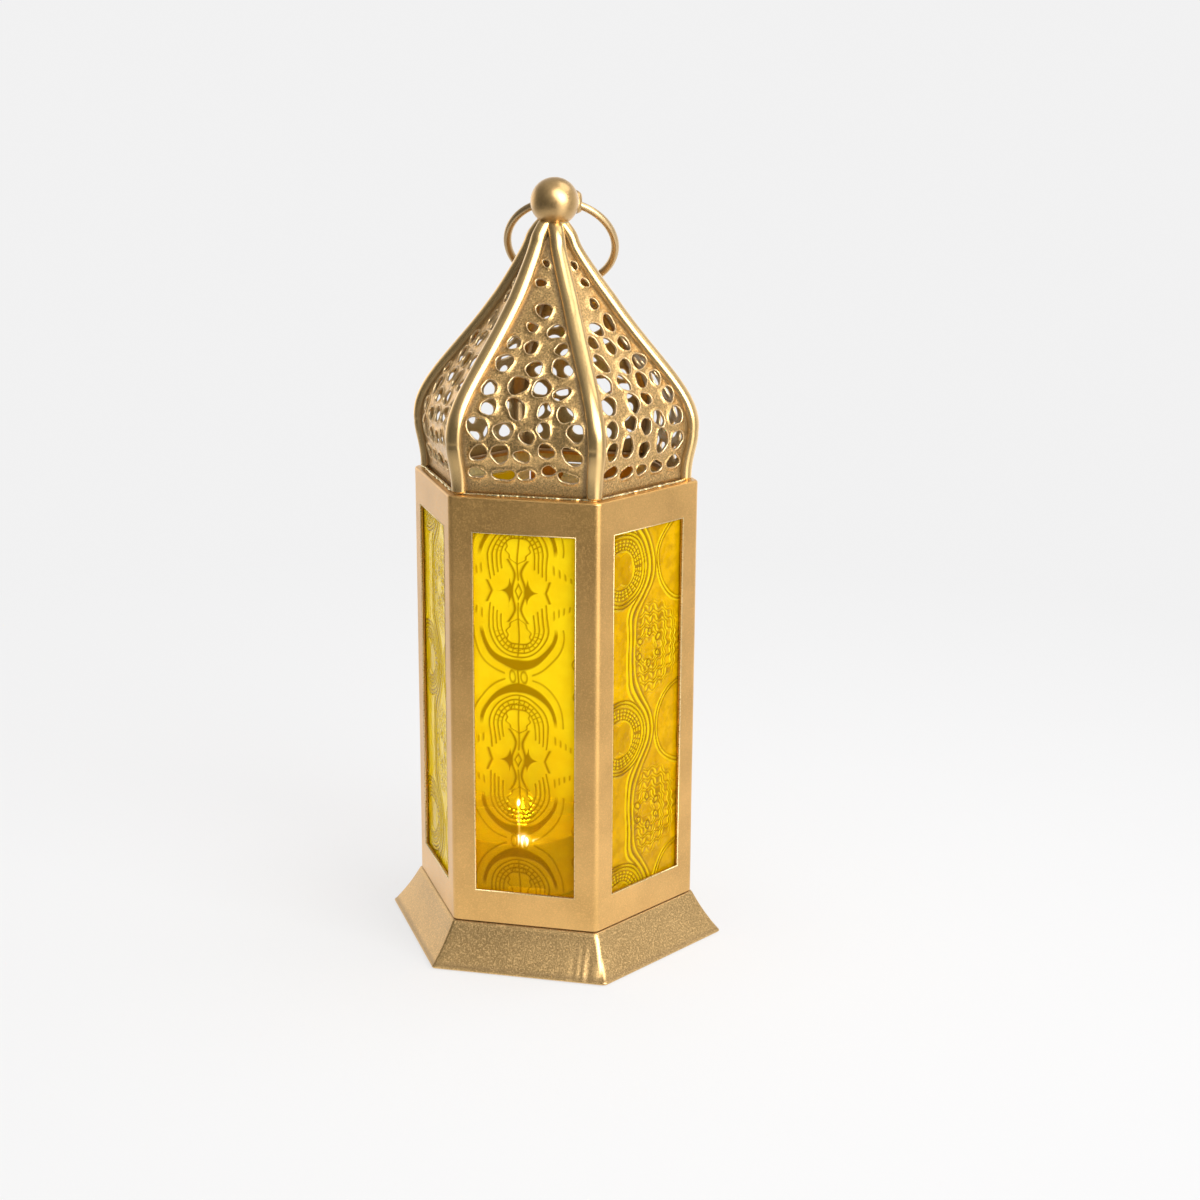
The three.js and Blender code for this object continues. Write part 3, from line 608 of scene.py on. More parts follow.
def make_window_edges():
    """The cut edge of the sheet round each window, in a paler gold that is a painted highlight."""
    profile = [(-0.5, -0.04), (-0.5, 0.05), (-0.2, 0.05), (-0.06, 0.0)]
    profile += [(0.015, -0.1), (0.02, -0.18), (-0.1, -0.22)]
    points, faces = [], []
    for face in range(SIDES):
        if face == DOOR_FACE:
            continue
        first = len(points)
        local = []
        for depth, inward in profile:
            for corner in rectangle(WINDOW_HALF - inward, WINDOW_BOTTOM + inward, WINDOW_TOP - inward):
                local.append((BODY_FACE + depth, *corner))
        points += turned(local, face_angle(face)).tolist()
        faces += [tuple(first + k for k in f) for f in loft_faces(len(profile), 4, closed=True)]
    add_piece("window_edges", points, faces, edge_highlight_paint, outward=True)


def soften(piece, width):
    """Rounds a piece's sharp edges and keeps its flats flat."""
    bevel = piece.modifiers.new("edges", "BEVEL")
    bevel.width = width * MM
    bevel.segments = 2
    bevel.limit_method = "ANGLE"
    bevel.angle_limit = math.radians(40)
    weighted = piece.modifiers.new("normals", "WEIGHTED_NORMAL")
    weighted.keep_sharp = True


def make_skirt():
    """The flared skirt: slightly hollow faces, a folded hem, and creases beside its front right corner."""
    bends = [SKIRT_BEND] * SIDES
    bends[corner_index(1)] = SKIRT_CREASED_BEND
    slope = []
    for t in np.linspace(0, 1, 11):
        corner = lerp(BASE_CORNER - 0.55, SKIRT_TOP_CORNER + 0.25, t) - SKIRT_HOLLOW * math.sin(math.pi * t)
        slope.append((corner, lerp(HEM_HEIGHT, SKIRT_TOP - 0.35, t)))
    hem = [(BASE_CORNER - HEM_WIDTH, 0.0), (BASE_CORNER - 0.6, 0.0), (BASE_CORNER - 0.18, 0.12)]
    hem += [(BASE_CORNER, 0.4), (BASE_CORNER - 0.12, 0.72), (BASE_CORNER - 0.42, 0.9)]
    top = [(SKIRT_TOP_CORNER - 0.1, SKIRT_TOP - 0.08), (SKIRT_TOP_CORNER - 0.6, SKIRT_TOP)]
    top += [(SKIRT_FLANGE_CORNER, SKIRT_TOP), (SKIRT_FLANGE_CORNER, SKIRT_TOP - SKIRT_SHEET)]
    inside = [(corner - 1.3, z - 0.25) for corner, z in slope[::-1] if z > HEM_HEIGHT + 0.3]
    rows = hem + slope + top + inside + [(BASE_CORNER - HEM_WIDTH, HEM_HEIGHT)]
    arc_steps = 8
    flats = []
    for i in range(SIDES):
        half = SKIRT_TOP_CORNER / 2 - 2.2
        flat = np.linspace(-half, half, 10)
        if i == corner_index(0):
            flat = np.concatenate([flat[:7], np.linspace(flat[6], half, 30)[1:]])
        flats.append(flat)
    points = []
    for corner, z in rows:
        wide = [flat * (corner / SKIRT_TOP_CORNER) for flat in flats]
        points += [(x, y, z) for x, y in hexagon_ring(corner, bends, wide, arc_steps)]
    points = np.array(points)
    columns = len(points) // len(rows)
    fold = points[:, 0] - BASE_CORNER / 2
    low = np.clip(1 - points[:, 2] / SKIRT_TOP, 0, 1)
    near = hump(fold, 7.0) * np.clip(-fold / 1.5, 0, 1) * (points[:, 1] < -25) * (points[:, 2] > 0.5)
    points[:, 1] += SKIRT_CREASE_DEPTH * (1 + np.sin(2.5 * fold + 1.5 * np.sin(0.9 * fold))) * near * low
    on_slope = np.hypot(points[:, 0], points[:, 1]) > 36
    # Painted shade: a dark line just above the folded hem
    values = {"painted_shade": 0.5 * hump(points[:, 2] - HEM_HEIGHT, 0.25) * on_slope}
    faces = loft_faces(len(rows), columns, closed=True)
    add_piece("skirt", points, faces, skirt_paint, replaces=["base_skirt"], values=values)


def run_along(line):
    """How far along a planar line each of its points is."""
    return np.concatenate([[0], np.cumsum(np.hypot(*np.diff(line, axis=0).T))])


def bezier(start, pull_start, pull_end, end, count):
    """Points on a curve from start to end that leaves and arrives along its two pulls."""
    t = np.linspace(0, 1, count)[:, None]
    a, b, c, d = (np.array(p, float) for p in (start, pull_start, pull_end, end))
    return (1 - t) ** 3 * a + 3 * (1 - t) ** 2 * t * b + 3 * (1 - t) * t**2 * c + t**3 * d


def ogee(count):
    """The ogee as evenly spaced points of radius and height, from its foot to the neck."""
    middle = ROOF_FOOT + BELLY_RISE
    foot, belly, neck = (FOOT_RADIUS, ROOF_FOOT), (BELLY_RADIUS, middle), (NECK_RADIUS, NECK_TOP)
    above_foot = (FOOT_RADIUS, ROOF_FOOT + FOOT_BEND)
    below_belly = (BELLY_RADIUS, middle - BELLY_BEND_BELOW)
    above_belly = (BELLY_RADIUS, middle + BELLY_BEND_ABOVE)
    below_neck = (NECK_RADIUS + NECK_SPREAD, NECK_TOP - NECK_BEND)
    lower = bezier(foot, above_foot, below_belly, belly, 400)
    upper = bezier(belly, above_belly, below_neck, neck, 800)
    line = np.concatenate([lower, upper[1:]])
    run = run_along(line)
    even = np.linspace(0, run[-1], count + 1)
    return np.stack([np.interp(even, run, line[:, 0]), np.interp(even, run, line[:, 1])], axis=1)


def side_normals(line):
    """The direction to the outer side of a planar line at each of its points."""
    along = np.gradient(line, axis=0)
    along /= np.linalg.norm(along, axis=1)[:, None]
    return np.stack([along[:, 1], -along[:, 0]], axis=1)


class RoofSheet:
    """The line of a roof sheet's middle: its run, and the radius, height and normal at any run."""

    def __init__(self):
        self.line = ogee(200)
        self.flat = self.line * (math.cos(HALF_SIDE), 1)
        self.run = run_along(self.flat)
        self.normals = side_normals(self.flat)
        self.tip = self.run[self.line[:, 1] <= ROOF_FOOT + PANEL_RISE][-1]

    def radius(self, run):
        return np.interp(run, self.run, self.line[:, 0])

    def half_width(self, run):
        return self.radius(run) * math.sin(HALF_SIDE) - (RIB_RADIUS + GAP) / math.cos(HALF_SIDE)

    def place(self, across, run, lift):
        """Points in the face's own frame, lifted along the sheet's normal."""
        x, z = (
            np.interp(run, self.run, self.flat[:, k]) + lift * np.interp(run, self.run, self.normals[:, k])
            for k in (0, 1)
        )
        return np.stack([x, across, z], axis=1)


def apart(hole, other):
    """How far the middles of two holes are apart on the sheet."""
    return math.hypot(hole["across"] - other["across"], hole["run"] - other["run"])


def holes_of_sheet(sheet, path):
    """The same holes as the solid roof sheet has: staggered rows, shaken and pushed apart."""
    lowest, highest = HOLE_FOOT_MARGIN, path.tip - HOLE_TIP_MARGIN
    holes = []
    rows = math.floor((highest - lowest) / HOLE_ROW_PITCH)
    for row in range(rows + 1):
        run = lowest + (highest - lowest) * row / rows
        half = path.half_width(run) - HOLE_EDGE_MARGIN
        count = max(1, math.floor(2 * half / HOLE_PITCH + 0.5))
        size = lerp(HOLE_RADIUS_LOW, HOLE_RADIUS_TOP, (run / highest) ** 2)
        for i in range(count):
            seed = sheet * 1000 + row * 20 + i
            hole = {
                "across": ((i + 0.5) / count - 0.5) * 2 * half + (scatter(seed) - 0.5) * HOLE_SHAKE,
                "run": run + (scatter(seed + 0.31) - 0.5) * HOLE_SHAKE,
                "radius": size * lerp(*HOLE_SHARES, scatter(seed + 0.57)),
                "stretch": lerp(*HOLE_STRETCHES, scatter(seed + 0.73)),
                "turn": math.pi * scatter(seed + 0.91),
            }
            holes.append(hole)
    for _ in range(HOLE_SETTLING):
        for hole in holes:
            for other in holes:
                if other is hole:
                    continue
                away = apart(hole, other)
                lack = hole["radius"] + other["radius"] + HOLE_WEB - away
                if lack > 0:
                    push = HOLE_PUSH * lack / away
                    hole["across"] += (hole["across"] - other["across"]) * push
                    hole["run"] += (hole["run"] - other["run"]) * push
            hole["run"] = clamp(hole["run"], lowest, highest)
            room = max(path.half_width(hole["run"]) - HOLE_EDGE_MARGIN - hole["radius"], 0)
            hole["across"] = clamp(hole["across"], -room, room)
    for hole in holes:
        half = path.half_width(hole["run"]) - HOLE_EDGE_MARGIN
        hole["radius"] = min(hole["radius"], half - abs(hole["across"]))
        for other in holes:
            if other is hole:
                continue
            room = apart(hole, other) - HOLE_WEB
            if hole["radius"] > room - other["radius"]:
                hole["radius"] = max(room - other["radius"], room / 2)
    return [hole for hole in holes if hole["radius"] > HOLE_LEAST_RADIUS]


def pebble_radius(hole, angles):
    """The radius of a hole's uneven oval outline at angles round its centre."""
    local = angles - hole["turn"]
    long, short = hole["radius"] * hole["stretch"], hole["radius"] / hole["stretch"]
    oval = long * short / np.hypot(short * np.cos(local), long * np.sin(local))
    if hole["run"] < FLAT_HOLES_BELOW:
        oval = oval * FLAT_HOLE_SHARE / np.hypot(FLAT_HOLE_SHARE * np.cos(angles), np.sin(angles))
    uneven = np.ones_like(angles)
    for waves, depth, place in ((2, 0.06, 0.17), (3, 0.07, 0.11), (5, 0.025, 0.23)):
        uneven += depth * np.cos(waves * angles + 6.3 * scatter(hole["seed"] + place))
    return 0.98 * oval * uneven


def leaning(points):
    """Roof points shifted as the real neck leans, a little to the left under the ball."""
    points = np.array(points, float)
    points[:, 0] -= NECK_LEAN * np.clip((points[:, 2] - NECK_TOP + 16) / 12, 0, 1)
    return points


def hole_distance(places, holes):
    """How far each place is from the nearest hole's edge; negative inside a hole."""
    best = np.full(len(places), 99.0)
    for hole in holes:
        across, up = (places - (hole["across"], hole["run"])).T
        best = np.minimum(best, np.hypot(across, up) - pebble_radius(hole, np.arctan2(up, across)))
    return best


def flat_sheet(holes, path):
    """The triangles of the unrolled sheet around its holes, and their points as across and run."""
    tuck, spacing, around = 1.5, 0.95, 30
    angles = np.linspace(0, 2 * math.pi, around, endpoint=False)
    top_run = path.run[-1] - 1.0

    def half_at(run):
        return np.maximum(path.half_width(run) + tuck, 0.35)

    places, loops = [], []
    for hole in holes:
        radii = pebble_radius(hole, angles)
        for step in (0.0, 0.16, 0.36, 0.62):
            across = hole["across"] + (radii + step) * np.cos(angles)
            ring = np.stack([across, hole["run"] + (radii + step) * np.sin(angles)], 1)
            if step == 0.0:
                loops.append(list(range(len(places), len(places) + around)))
                places += ring.tolist()
            else:
                kept = hole_distance(ring, holes) > step * 0.85
                inside = (np.abs(ring[:, 0]) < half_at(ring[:, 1]) - 0.15) & (ring[:, 1] > 0.15)
                places += ring[kept & inside].tolist()
    rows = int(top_run / (spacing * 0.87))
    for row in range(rows + 1):
        run = top_run * row / rows
        half = float(half_at(run))
        count = max(2, int(2 * half / spacing))
        line = np.stack([np.linspace(-half, half, count + 1), np.full(count + 1, run)], 1)
        border = np.array([True] + [row in (0, rows)] * (count - 1) + [True])
        places += line[border | (hole_distance(line, holes) > spacing)].tolist()
    edges = [(loop[k], loop[(k + 1) % around]) for loop in loops for k in range(around)]
    flat, _, triangles, _, _, _ = delaunay_2d_cdt([Vector(p) for p in places], edges, [], 0, 1e-5, True)
    flat, triangles = np.array([tuple(p) for p in flat]), np.array(triangles)
    middles = flat[triangles].mean(axis=1)
    kept = (hole_distance(middles, holes) > 0) & (np.abs(middles[:, 0]) < half_at(middles[:, 1]))
    return flat, triangles[kept]


def make_roof_sheet(face, path):
    """A pierced roof sheet: smooth uneven holes with raised lips, tucked under the ribs at both sides."""
    sheet = face + 1
    holes = holes_of_sheet(sheet, path)
    for k, hole in enumerate(holes):
        hole["seed"] = sheet * 1000 + 500 + k
    flat, triangles = flat_sheet(holes, path)
    across, run = flat.T
    distance = np.maximum(hole_distance(flat, holes), 0)
    lip = hump(distance - 0.2, 0.26)
    crumple = smooth_noise(np.stack([across, run, np.full(len(run), sheet * 9.0)], 1), 1.6, 0)
    outer = path.place(across, run, 0.06 + 0.3 * lip + 0.06 * crumple * (1 - lip))
    inner = path.place(across, run, -PANEL_HALF_SHEET + 0.15 * lip)
    count = len(flat)
    faces = [tuple(t) for t in triangles] + [(c + count, b + count, a + count) for a, b, c in triangles]
    sides = dict.fromkeys(pair for a, b, c in triangles for pair in ((a, b), (b, c), (c, a)))
    faces += [(b, a, a + count, b + count) for a, b in sides if (b, a) not in sides]
    used = np.unique(triangles)
    keep = np.concatenate([used, used + count])
    remap = np.full(2 * count, -1)
    remap[keep] = np.arange(len(keep))
    faces = [tuple(int(remap[i]) for i in f) for f in faces]
    points = turned(np.concatenate([outer, inner])[keep], face_angle(face))
    beside = path.half_width(run) + GAP + RIB_RADIUS - RIB_HALF_WIDTH - np.abs(across)
    # Painted shade: darker beside the ribs and along the sheet's foot, but not on the raised hole lips
    painted_shade = (hump(np.maximum(beside, 0), 0.45) + hump(run, 0.9)) * (1 - lip)
    # Painted highlight on the hole rims, and painted shade beside the ribs and at the foot
    values = {
        "rim_highlight": np.tile(hump(distance, 0.34), 2)[keep],
        "inner": np.repeat([0.0, 1.0], count)[keep],
        "painted_shade": np.tile(0.75 * np.clip(painted_shade, 0, 1), 2)[keep],
    }
    replaced = [f"dome_panel_{sheet}"]
    name = f"roof_sheet_{sheet}"
    add_piece(name, leaning(points), faces, roof_paint, replaces=replaced, values=values, outward=True)


def make_ribs():
    """The round ribs from the casing's corners to the ball, with a seam between their two lengths."""
    line = ogee(150)
    normals = side_normals(line)
    along = (line[-1] - line[-2]) / np.linalg.norm(line[-1] - line[-2])
    further = np.linspace(0.6, 3.6, 6)
    line = np.concatenate([line, [line[-1] + along * reach for reach in further]])
    normals = np.concatenate([normals, np.repeat(normals[-1:], len(further), axis=0)])
    rings, section = len(line), 28
    seam_height = ROOF_FOOT + 12.0
    turns = 2 * math.pi * np.arange(section) / section
    # Painted shade along both sides of each rib, where it meets the sheets
    painted_shade = np.tile(0.5 * hump(np.maximum(np.cos(turns), 0), 0.16), rings)
    for i in range(SIDES):
        points = []
        for (radius, z), (nx, nz) in zip(line, normals):
            coarse = noise.noise(Vector((i * 5.0, 0, z / 9)))
            fine = noise.noise(Vector((i * 5.0, 9, z / 3)))
            wobble = 1 + 0.03 * coarse + 0.012 * fine - 0.06 * hump(z - seam_height, 0.3)
            high = RIB_RADIUS * lerp(1.0, 1.14, clamp((z - seam_height) / 32, 0, 1)) * wobble
            high *= lerp(0.6, 1, clamp((NECK_TOP + 3.4 - z) / 3, 0, 1))
            half = lerp(RIB_NECK_HALF_WIDTH, RIB_HALF_WIDTH, clamp((NECK_TOP - z) / RIB_TAPER, 0, 1)) * wobble
            half *= lerp(0.86, 1, clamp((z - ROOF_FOOT) / 9, 0, 1))
            radius += 0.55 * hump(z - NECK_TOP + 1.9, 2.1)
            out, side = high * np.cos(turns), half * np.sin(turns)
            heights = np.maximum(z + out * nz, ROOF_FOOT)
            points += np.stack([radius + out * nx, side, heights], 1).tolist()
        faces = loft_faces(rings, section)
        faces.append(tuple(range(section))[::-1])
        faces.append(tuple(range((rings - 1) * section, rings * section)))
        points = leaning(turned(points, face_angle(i + 0.5)))
        replaced, values = [f"dome_rib_{i + 1}"], {"painted_shade": painted_shade}
        add_piece(f"rib_{i + 1}", points, faces, rib_paint, replaces=replaced, values=values, outward=True)


def make_solder():
    """The rough bead between the roof's foot and the casing's top."""
    corner = FOOT_RADIUS + 1.3
    per_side, section = int(corner / 0.35), 8
    points = []
    for i in range(SIDES):
        turns = np.radians([60 * i, 60 * (i + 1), 60 * i + 30])
        start, stop, out = np.stack([np.cos(turns), np.sin(turns)], 1) * ((corner,), (corner,), (1,))
        for k in range(per_side):
            x, y = start + (stop - start) * k / per_side
            coarse = noise.noise(Vector((x, y, 17.0)) / 2.5)
            size = 0.3 + 0.2 * noise.noise(Vector((x, y, 3.0)) / 0.8) + 0.1 * coarse
            for j in range(section):
                turn = 2 * math.pi * j / section
                reach = size * math.cos(turn) * 1.3 + 0.35 * coarse
                up = BODY_TOP + 0.25 + size * math.sin(turn)
                points.append((x + out[0] * reach, y + out[1] * reach, up))
    faces = loft_faces(SIDES * per_side, section, closed=True)
    add_piece("solder_bead", points, faces, solder_paint, outward=True)


def make_finial():
    """The ball and the solder collar that the ribs run into under it."""
    profile = [(0, -BALL_RADIUS), *arc((0, 0), BALL_RADIUS, -87, 87, 40), (0, BALL_RADIUS)]
    points, faces = lathe(profile, 64)
    points *= (1 + 0.004 * smooth_noise(points, 3.0, 2))[:, None] * (0.996 + BALL_SWELL / BALL_RADIUS)
    points[:, 2] += BALL_CENTRE - BALL_SWELL
    add_piece("ball", points, faces, fittings_paint, replaces=["finial_ball"])
    profile = [(0, 0.0), (2.4, 0.0), (2.9, 1.1), (3.5, 1.35), (3.65, 1.6), (3.55, 1.85), (3.1, 2.0), (0, 2.0)]
    points, faces = lathe([(radius, NECK_TOP + rise) for radius, rise in profile], 64)
    points[:, :2] *= (1 + 0.05 * smooth_noise(points, 0.9, 3))[:, None]
    add_piece("solder_collar", points, faces, solder_paint, replaces=["crown_cap"])


def make_ring():
    """The wire ring, leaning back through the eye and slightly oval."""
    drop = RING_RADIUS - math.sqrt(RING_RADIUS**2 - EYE_REACH**2)
    centre = RING_RADIUS - drop / 2
    around, section = 120, 16
    points = []
    for a in 2 * math.pi * np.arange(around) / around:
        stretch = RING_OVAL * (1 + math.cos(a - RING_OVAL_TURN)) / 2
        for b in 2 * math.pi * np.arange(section) / section:
            reach = RING_RADIUS + RING_WIRE * math.cos(b)
            x = centre + reach * math.cos(a) + stretch * math.cos(RING_OVAL_TURN)
            y = reach * math.sin(a) + stretch * math.sin(RING_OVAL_TURN)
            points.append((x, y, RING_WIRE * math.sin(b)))
    x, y, z = np.array(points).T
    tilt = math.radians(90 - RING_LEAN)
    out = EYE_OUT + x * math.cos(tilt) + z * math.sin(tilt)
    up = EYE_HEIGHT - x * math.sin(tilt) + z * math.cos(tilt)
    points = turned(np.stack([out, y, up], 1), RING_AZIMUTH)
    faces = loft_faces(around, section, closed=True)
    add_piece("ring", points, faces, ring_paint, body="ring", replaces=["hanging_ring"], outward=True)


def make_eye():
    """The rolled barrel behind the ball, rounded at its open end, and the strap that holds it to the ball."""
    profile = [(1.6, -3.0), (2.5, -3.0), (2.75, -2.75), (EYE_RADIUS, -2.4), (EYE_RADIUS, 4.3), (2.72, 5.0)]
    profile += [(2.5, 5.55), (2.2, 6.0), (1.9, 6.25), (1.7, 6.25), (1.6, 6.0), (1.6, 5.2)]
    barrel, faces = lathe(profile, 40, closed=True)
    # Painted shadow: a dark band on the barrel near its rounded end, where the ball shades it
    values = {"painted_shade": between(barrel[:, 2], 4.2, 5.1, 0.3)}
    points = barrel[:, [0, 2, 1]] * (1, -1, 1)
    points[:, 2] *= np.where(points[:, 2] > 0, 1.3, 0.85)
    points = turned(points + (EYE_OUT, 0, EYE_HEIGHT), RING_AZIMUTH)
    replaced = ["hanger_eye"]
    add_piece("eye_barrel", points, faces, fittings_paint, replaces=replaced, values=values, outward=True)
    section = rectangle(2.0, EYE_HEIGHT - 0.45, EYE_HEIGHT + 0.45)
    strap = [(x, *corner) for x in (BALL_RADIUS - 1.2, EYE_OUT - EYE_RADIUS + 0.5) for corner in section]
    faces = loft_faces(2, 4) + [(3, 2, 1, 0), (4, 5, 6, 7)]
    add_piece("eye_strap", turned(strap, RING_AZIMUTH), faces, fittings_paint, outward=True)


# Height of a link in the chains pressed into the panes
PERIOD = 43.4

# A pane gets hazier between these two heights, up to HAZE_HIGH
HAZE_HIGH = 0.7
HAZE_START = 38.0
HAZE_END = 66.0
RELIEF_DEPTH = 0.12


def medallions(u, v):
    """A chain of medallions up the pane: two lobes with a gridded outer half meet at each diamond."""
    x = np.abs(u)
    w = np.abs((v + PERIOD / 2) % PERIOD - PERIOD / 2)
    rise = w - 9.1
    ring = np.where(rise > 0, np.hypot(x, rise), x - 0.1 * rise)
    turn = np.arctan2(x, rise)
    made = []
    wobble = 0.12 * np.sin(7.0 * turn + 0.8 * w)
    for radius in (7.6, 6.5, 5.4, 4.3):
        starts = 3.0 + 0.8 * (7.6 - radius)
        made.append(hump(ring - radius - wobble, 0.24) * between(w, starts, 99))
    tick = math.radians(13)
    ticks = hump(((turn / tick + 0.5) % 1 - 0.5) * tick * ring, 0.2) * between(ring, 4.3, 6.6)
    made.append(0.9 * ticks * between(turn, -1, math.radians(78)))
    leaf = 2.9 * (1 - ((w - 11.0) / 4.3) ** 2) + 0.25 * np.cos(3.1 * w)
    made.append(hump(x - leaf, 0.24) * between(w, 6.8, 15.2))
    made.append(hump(x, 0.24) * between(w, 2.6, 16.5))
    waist, shoulder = 1.3 + 0.5 * np.cos(math.pi * w / 4.5), 0.8 + 1.7 * np.clip((w - 4.5) / 3.5, 0, 1) ** 1.5
    made.append(hump(x - np.where(w < 4.5, waist, shoulder), 0.42) * between(w, -1, 8.0))
    made.append(hump(x / 1.15 + w / 2.3 - 0.75, 0.22) * between(w, -1, 3))
    thorn = np.sqrt(np.abs(x - 2.3) / 2.5) + np.sqrt(w / 3.4)
    made.append(np.clip((1.18 - thorn) * 5, 0, 1) * between(x, 1.4, 99))
    made.append(hump(x - 6.7 - 0.42 * w, 0.42) * between(w, -1, 2.9))
    sag = 0.95 * np.clip(1 - turn / 1.4, 0, 1) ** 2
    band = np.abs(np.hypot(x, rise) - 9.4 - 0.35 * sag) / (0.48 + sag)
    made.append(np.clip(1.5 - band**2, 0, 1) * between(turn, -1, 1.5) * (rise > -3))
    outer = np.hypot(x, w - 10.2) - 11.35
    made.append(0.8 * hump(outer, 0.28) * between(x, 3.4, 99) * between(w, 9.0, 99))
    nut = np.hypot((x - 1.5) / 0.75, (w - PERIOD / 2) / 1.5)
    made.append(0.8 * hump((nut - 1) * 0.9, 0.3))
    made.append(hump(x, 0.3) * between(w, PERIOD / 2 - 3.4, 99))
    rope = np.abs(w - 6.0 + 0.5 * (x - 8.3)) / np.clip(1.4 - 0.13 * (x - 8.3), 0.5, 2)
    twist = (0.5 + 0.5 * np.cos(2 * math.pi * x / 1.3)) ** 2
    made.append(0.8 * np.clip(1.3 - rope**2, 0, 1) * twist * between(x, 8.3, 99))
    made.append(0.8 * hump(np.hypot(u - 15.2, w - 17.6) - 1.6, 0.25) * between(u, -99, 14.9))
    return np.max(made, axis=0)


def circle_chain(u, v):
    """A chain of gridded circles joined by narrow necks, with flowers beside it and hoops beyond."""
    x = np.abs(u)
    w = np.abs((v + PERIOD / 2) % PERIOD - PERIOD / 2)
    ring = np.hypot(x, w)
    turn = np.arctan2(x, w)
    made = []
    for radius, strength in ((9.7, 1), (8.8, 1), (7.8, 0.8), (6.9, 0.8), (6.0, 0.8), (5.1, 0.9)):
        made.append(strength * hump(ring - radius, 0.3))
    tick = math.radians(11)
    made.append(0.9 * hump(((turn / tick + 0.5) % 1 - 0.5) * tick * ring, 0.26) * between(ring, 5.1, 7.8))
    heart = np.hypot(x / 1.2, w - 0.7 * x) - 3.0
    made.append(np.clip(0.5 - heart, 0, 0.35))
    neck, hull = x - 4.4, ring - 11.2
    share = np.clip(0.5 + 0.5 * (neck - hull) / 5, 0, 1)
    contour = neck * (1 - share) + hull * share - 5 * share * (1 - share)
    for offset, strength, width in ((0, 1, 0.6), (-1.3, 0.8, 0.36), (1.5, 0.7, 0.5)):
        made.append(strength * hump(contour - offset, width) * between(ring, 9.9, 99))
    flower_x, flower_w = x - 10.6, w - PERIOD / 2
    reach = np.hypot(flower_x, flower_w)
    petals = np.cos(3 * np.arctan2(flower_w, flower_x))
    drop = np.hypot(reach - 4.0, 1.9 * petals * reach / 4) - 1.0
    made.append(0.9 * hump(drop, 0.36) * between(reach, 1.5, 6.4))
    ripples = 0.5 + 0.5 * np.cos(5.2 * reach + 2.5 * np.sin(1.9 * u) + 1.7 * np.sin(2.3 * v))
    made.append(0.6 * ripples * between(contour, 1.0, 99, 1.5) * between(reach, 2.0, 12.0, 3.0))
    for radius, strength in ((11.6, 0.7), (10.7, 0.6)):
        made.append(strength * hump(np.hypot(x - 25.0, w) - radius, 0.3) * between(x, 12.5, 99))
    return np.max(made, axis=0)


# Each pane is cut from the patterned sheet at its own place: the chain, the shift across and up, how deep its
# amber is as painted shade, and how hazy its lower part is
PANE_CUTS = {
    "glass_pane_1": (medallions, 1.6, 11.7, 0.0, 0.15),
    "glass_pane_2": (circle_chain, 9.2, 16.5, 1.0, 0.6),
    "glass_pane_3": (medallions, -7.0, 2.0, 0.3, 0.15),
    "door_glass": (circle_chain, -3.0, 9.0, 0.2, 0.15),
    "glass_pane_4": (medallions, 4.0, 24.0, 0.1, 0.15),
    "glass_pane_5": (circle_chain, 8.0, 30.0, 0.3, 1.0),
}


# A painted glow that the front pane gives off where its relief would gather the flame's light: across,
# height, half width, half height, strength
GLOWS = (
    (-1.75, 43.8, 0.5, 0.7, 3.2),
    (-0.5, 34.2, 1.3, 1.5, 3.0),
    (-1.6, 38.6, 0.35, 3.4, 1.3),
    (2.4, 34.0, 2.6, 0.9, 0.6),
)


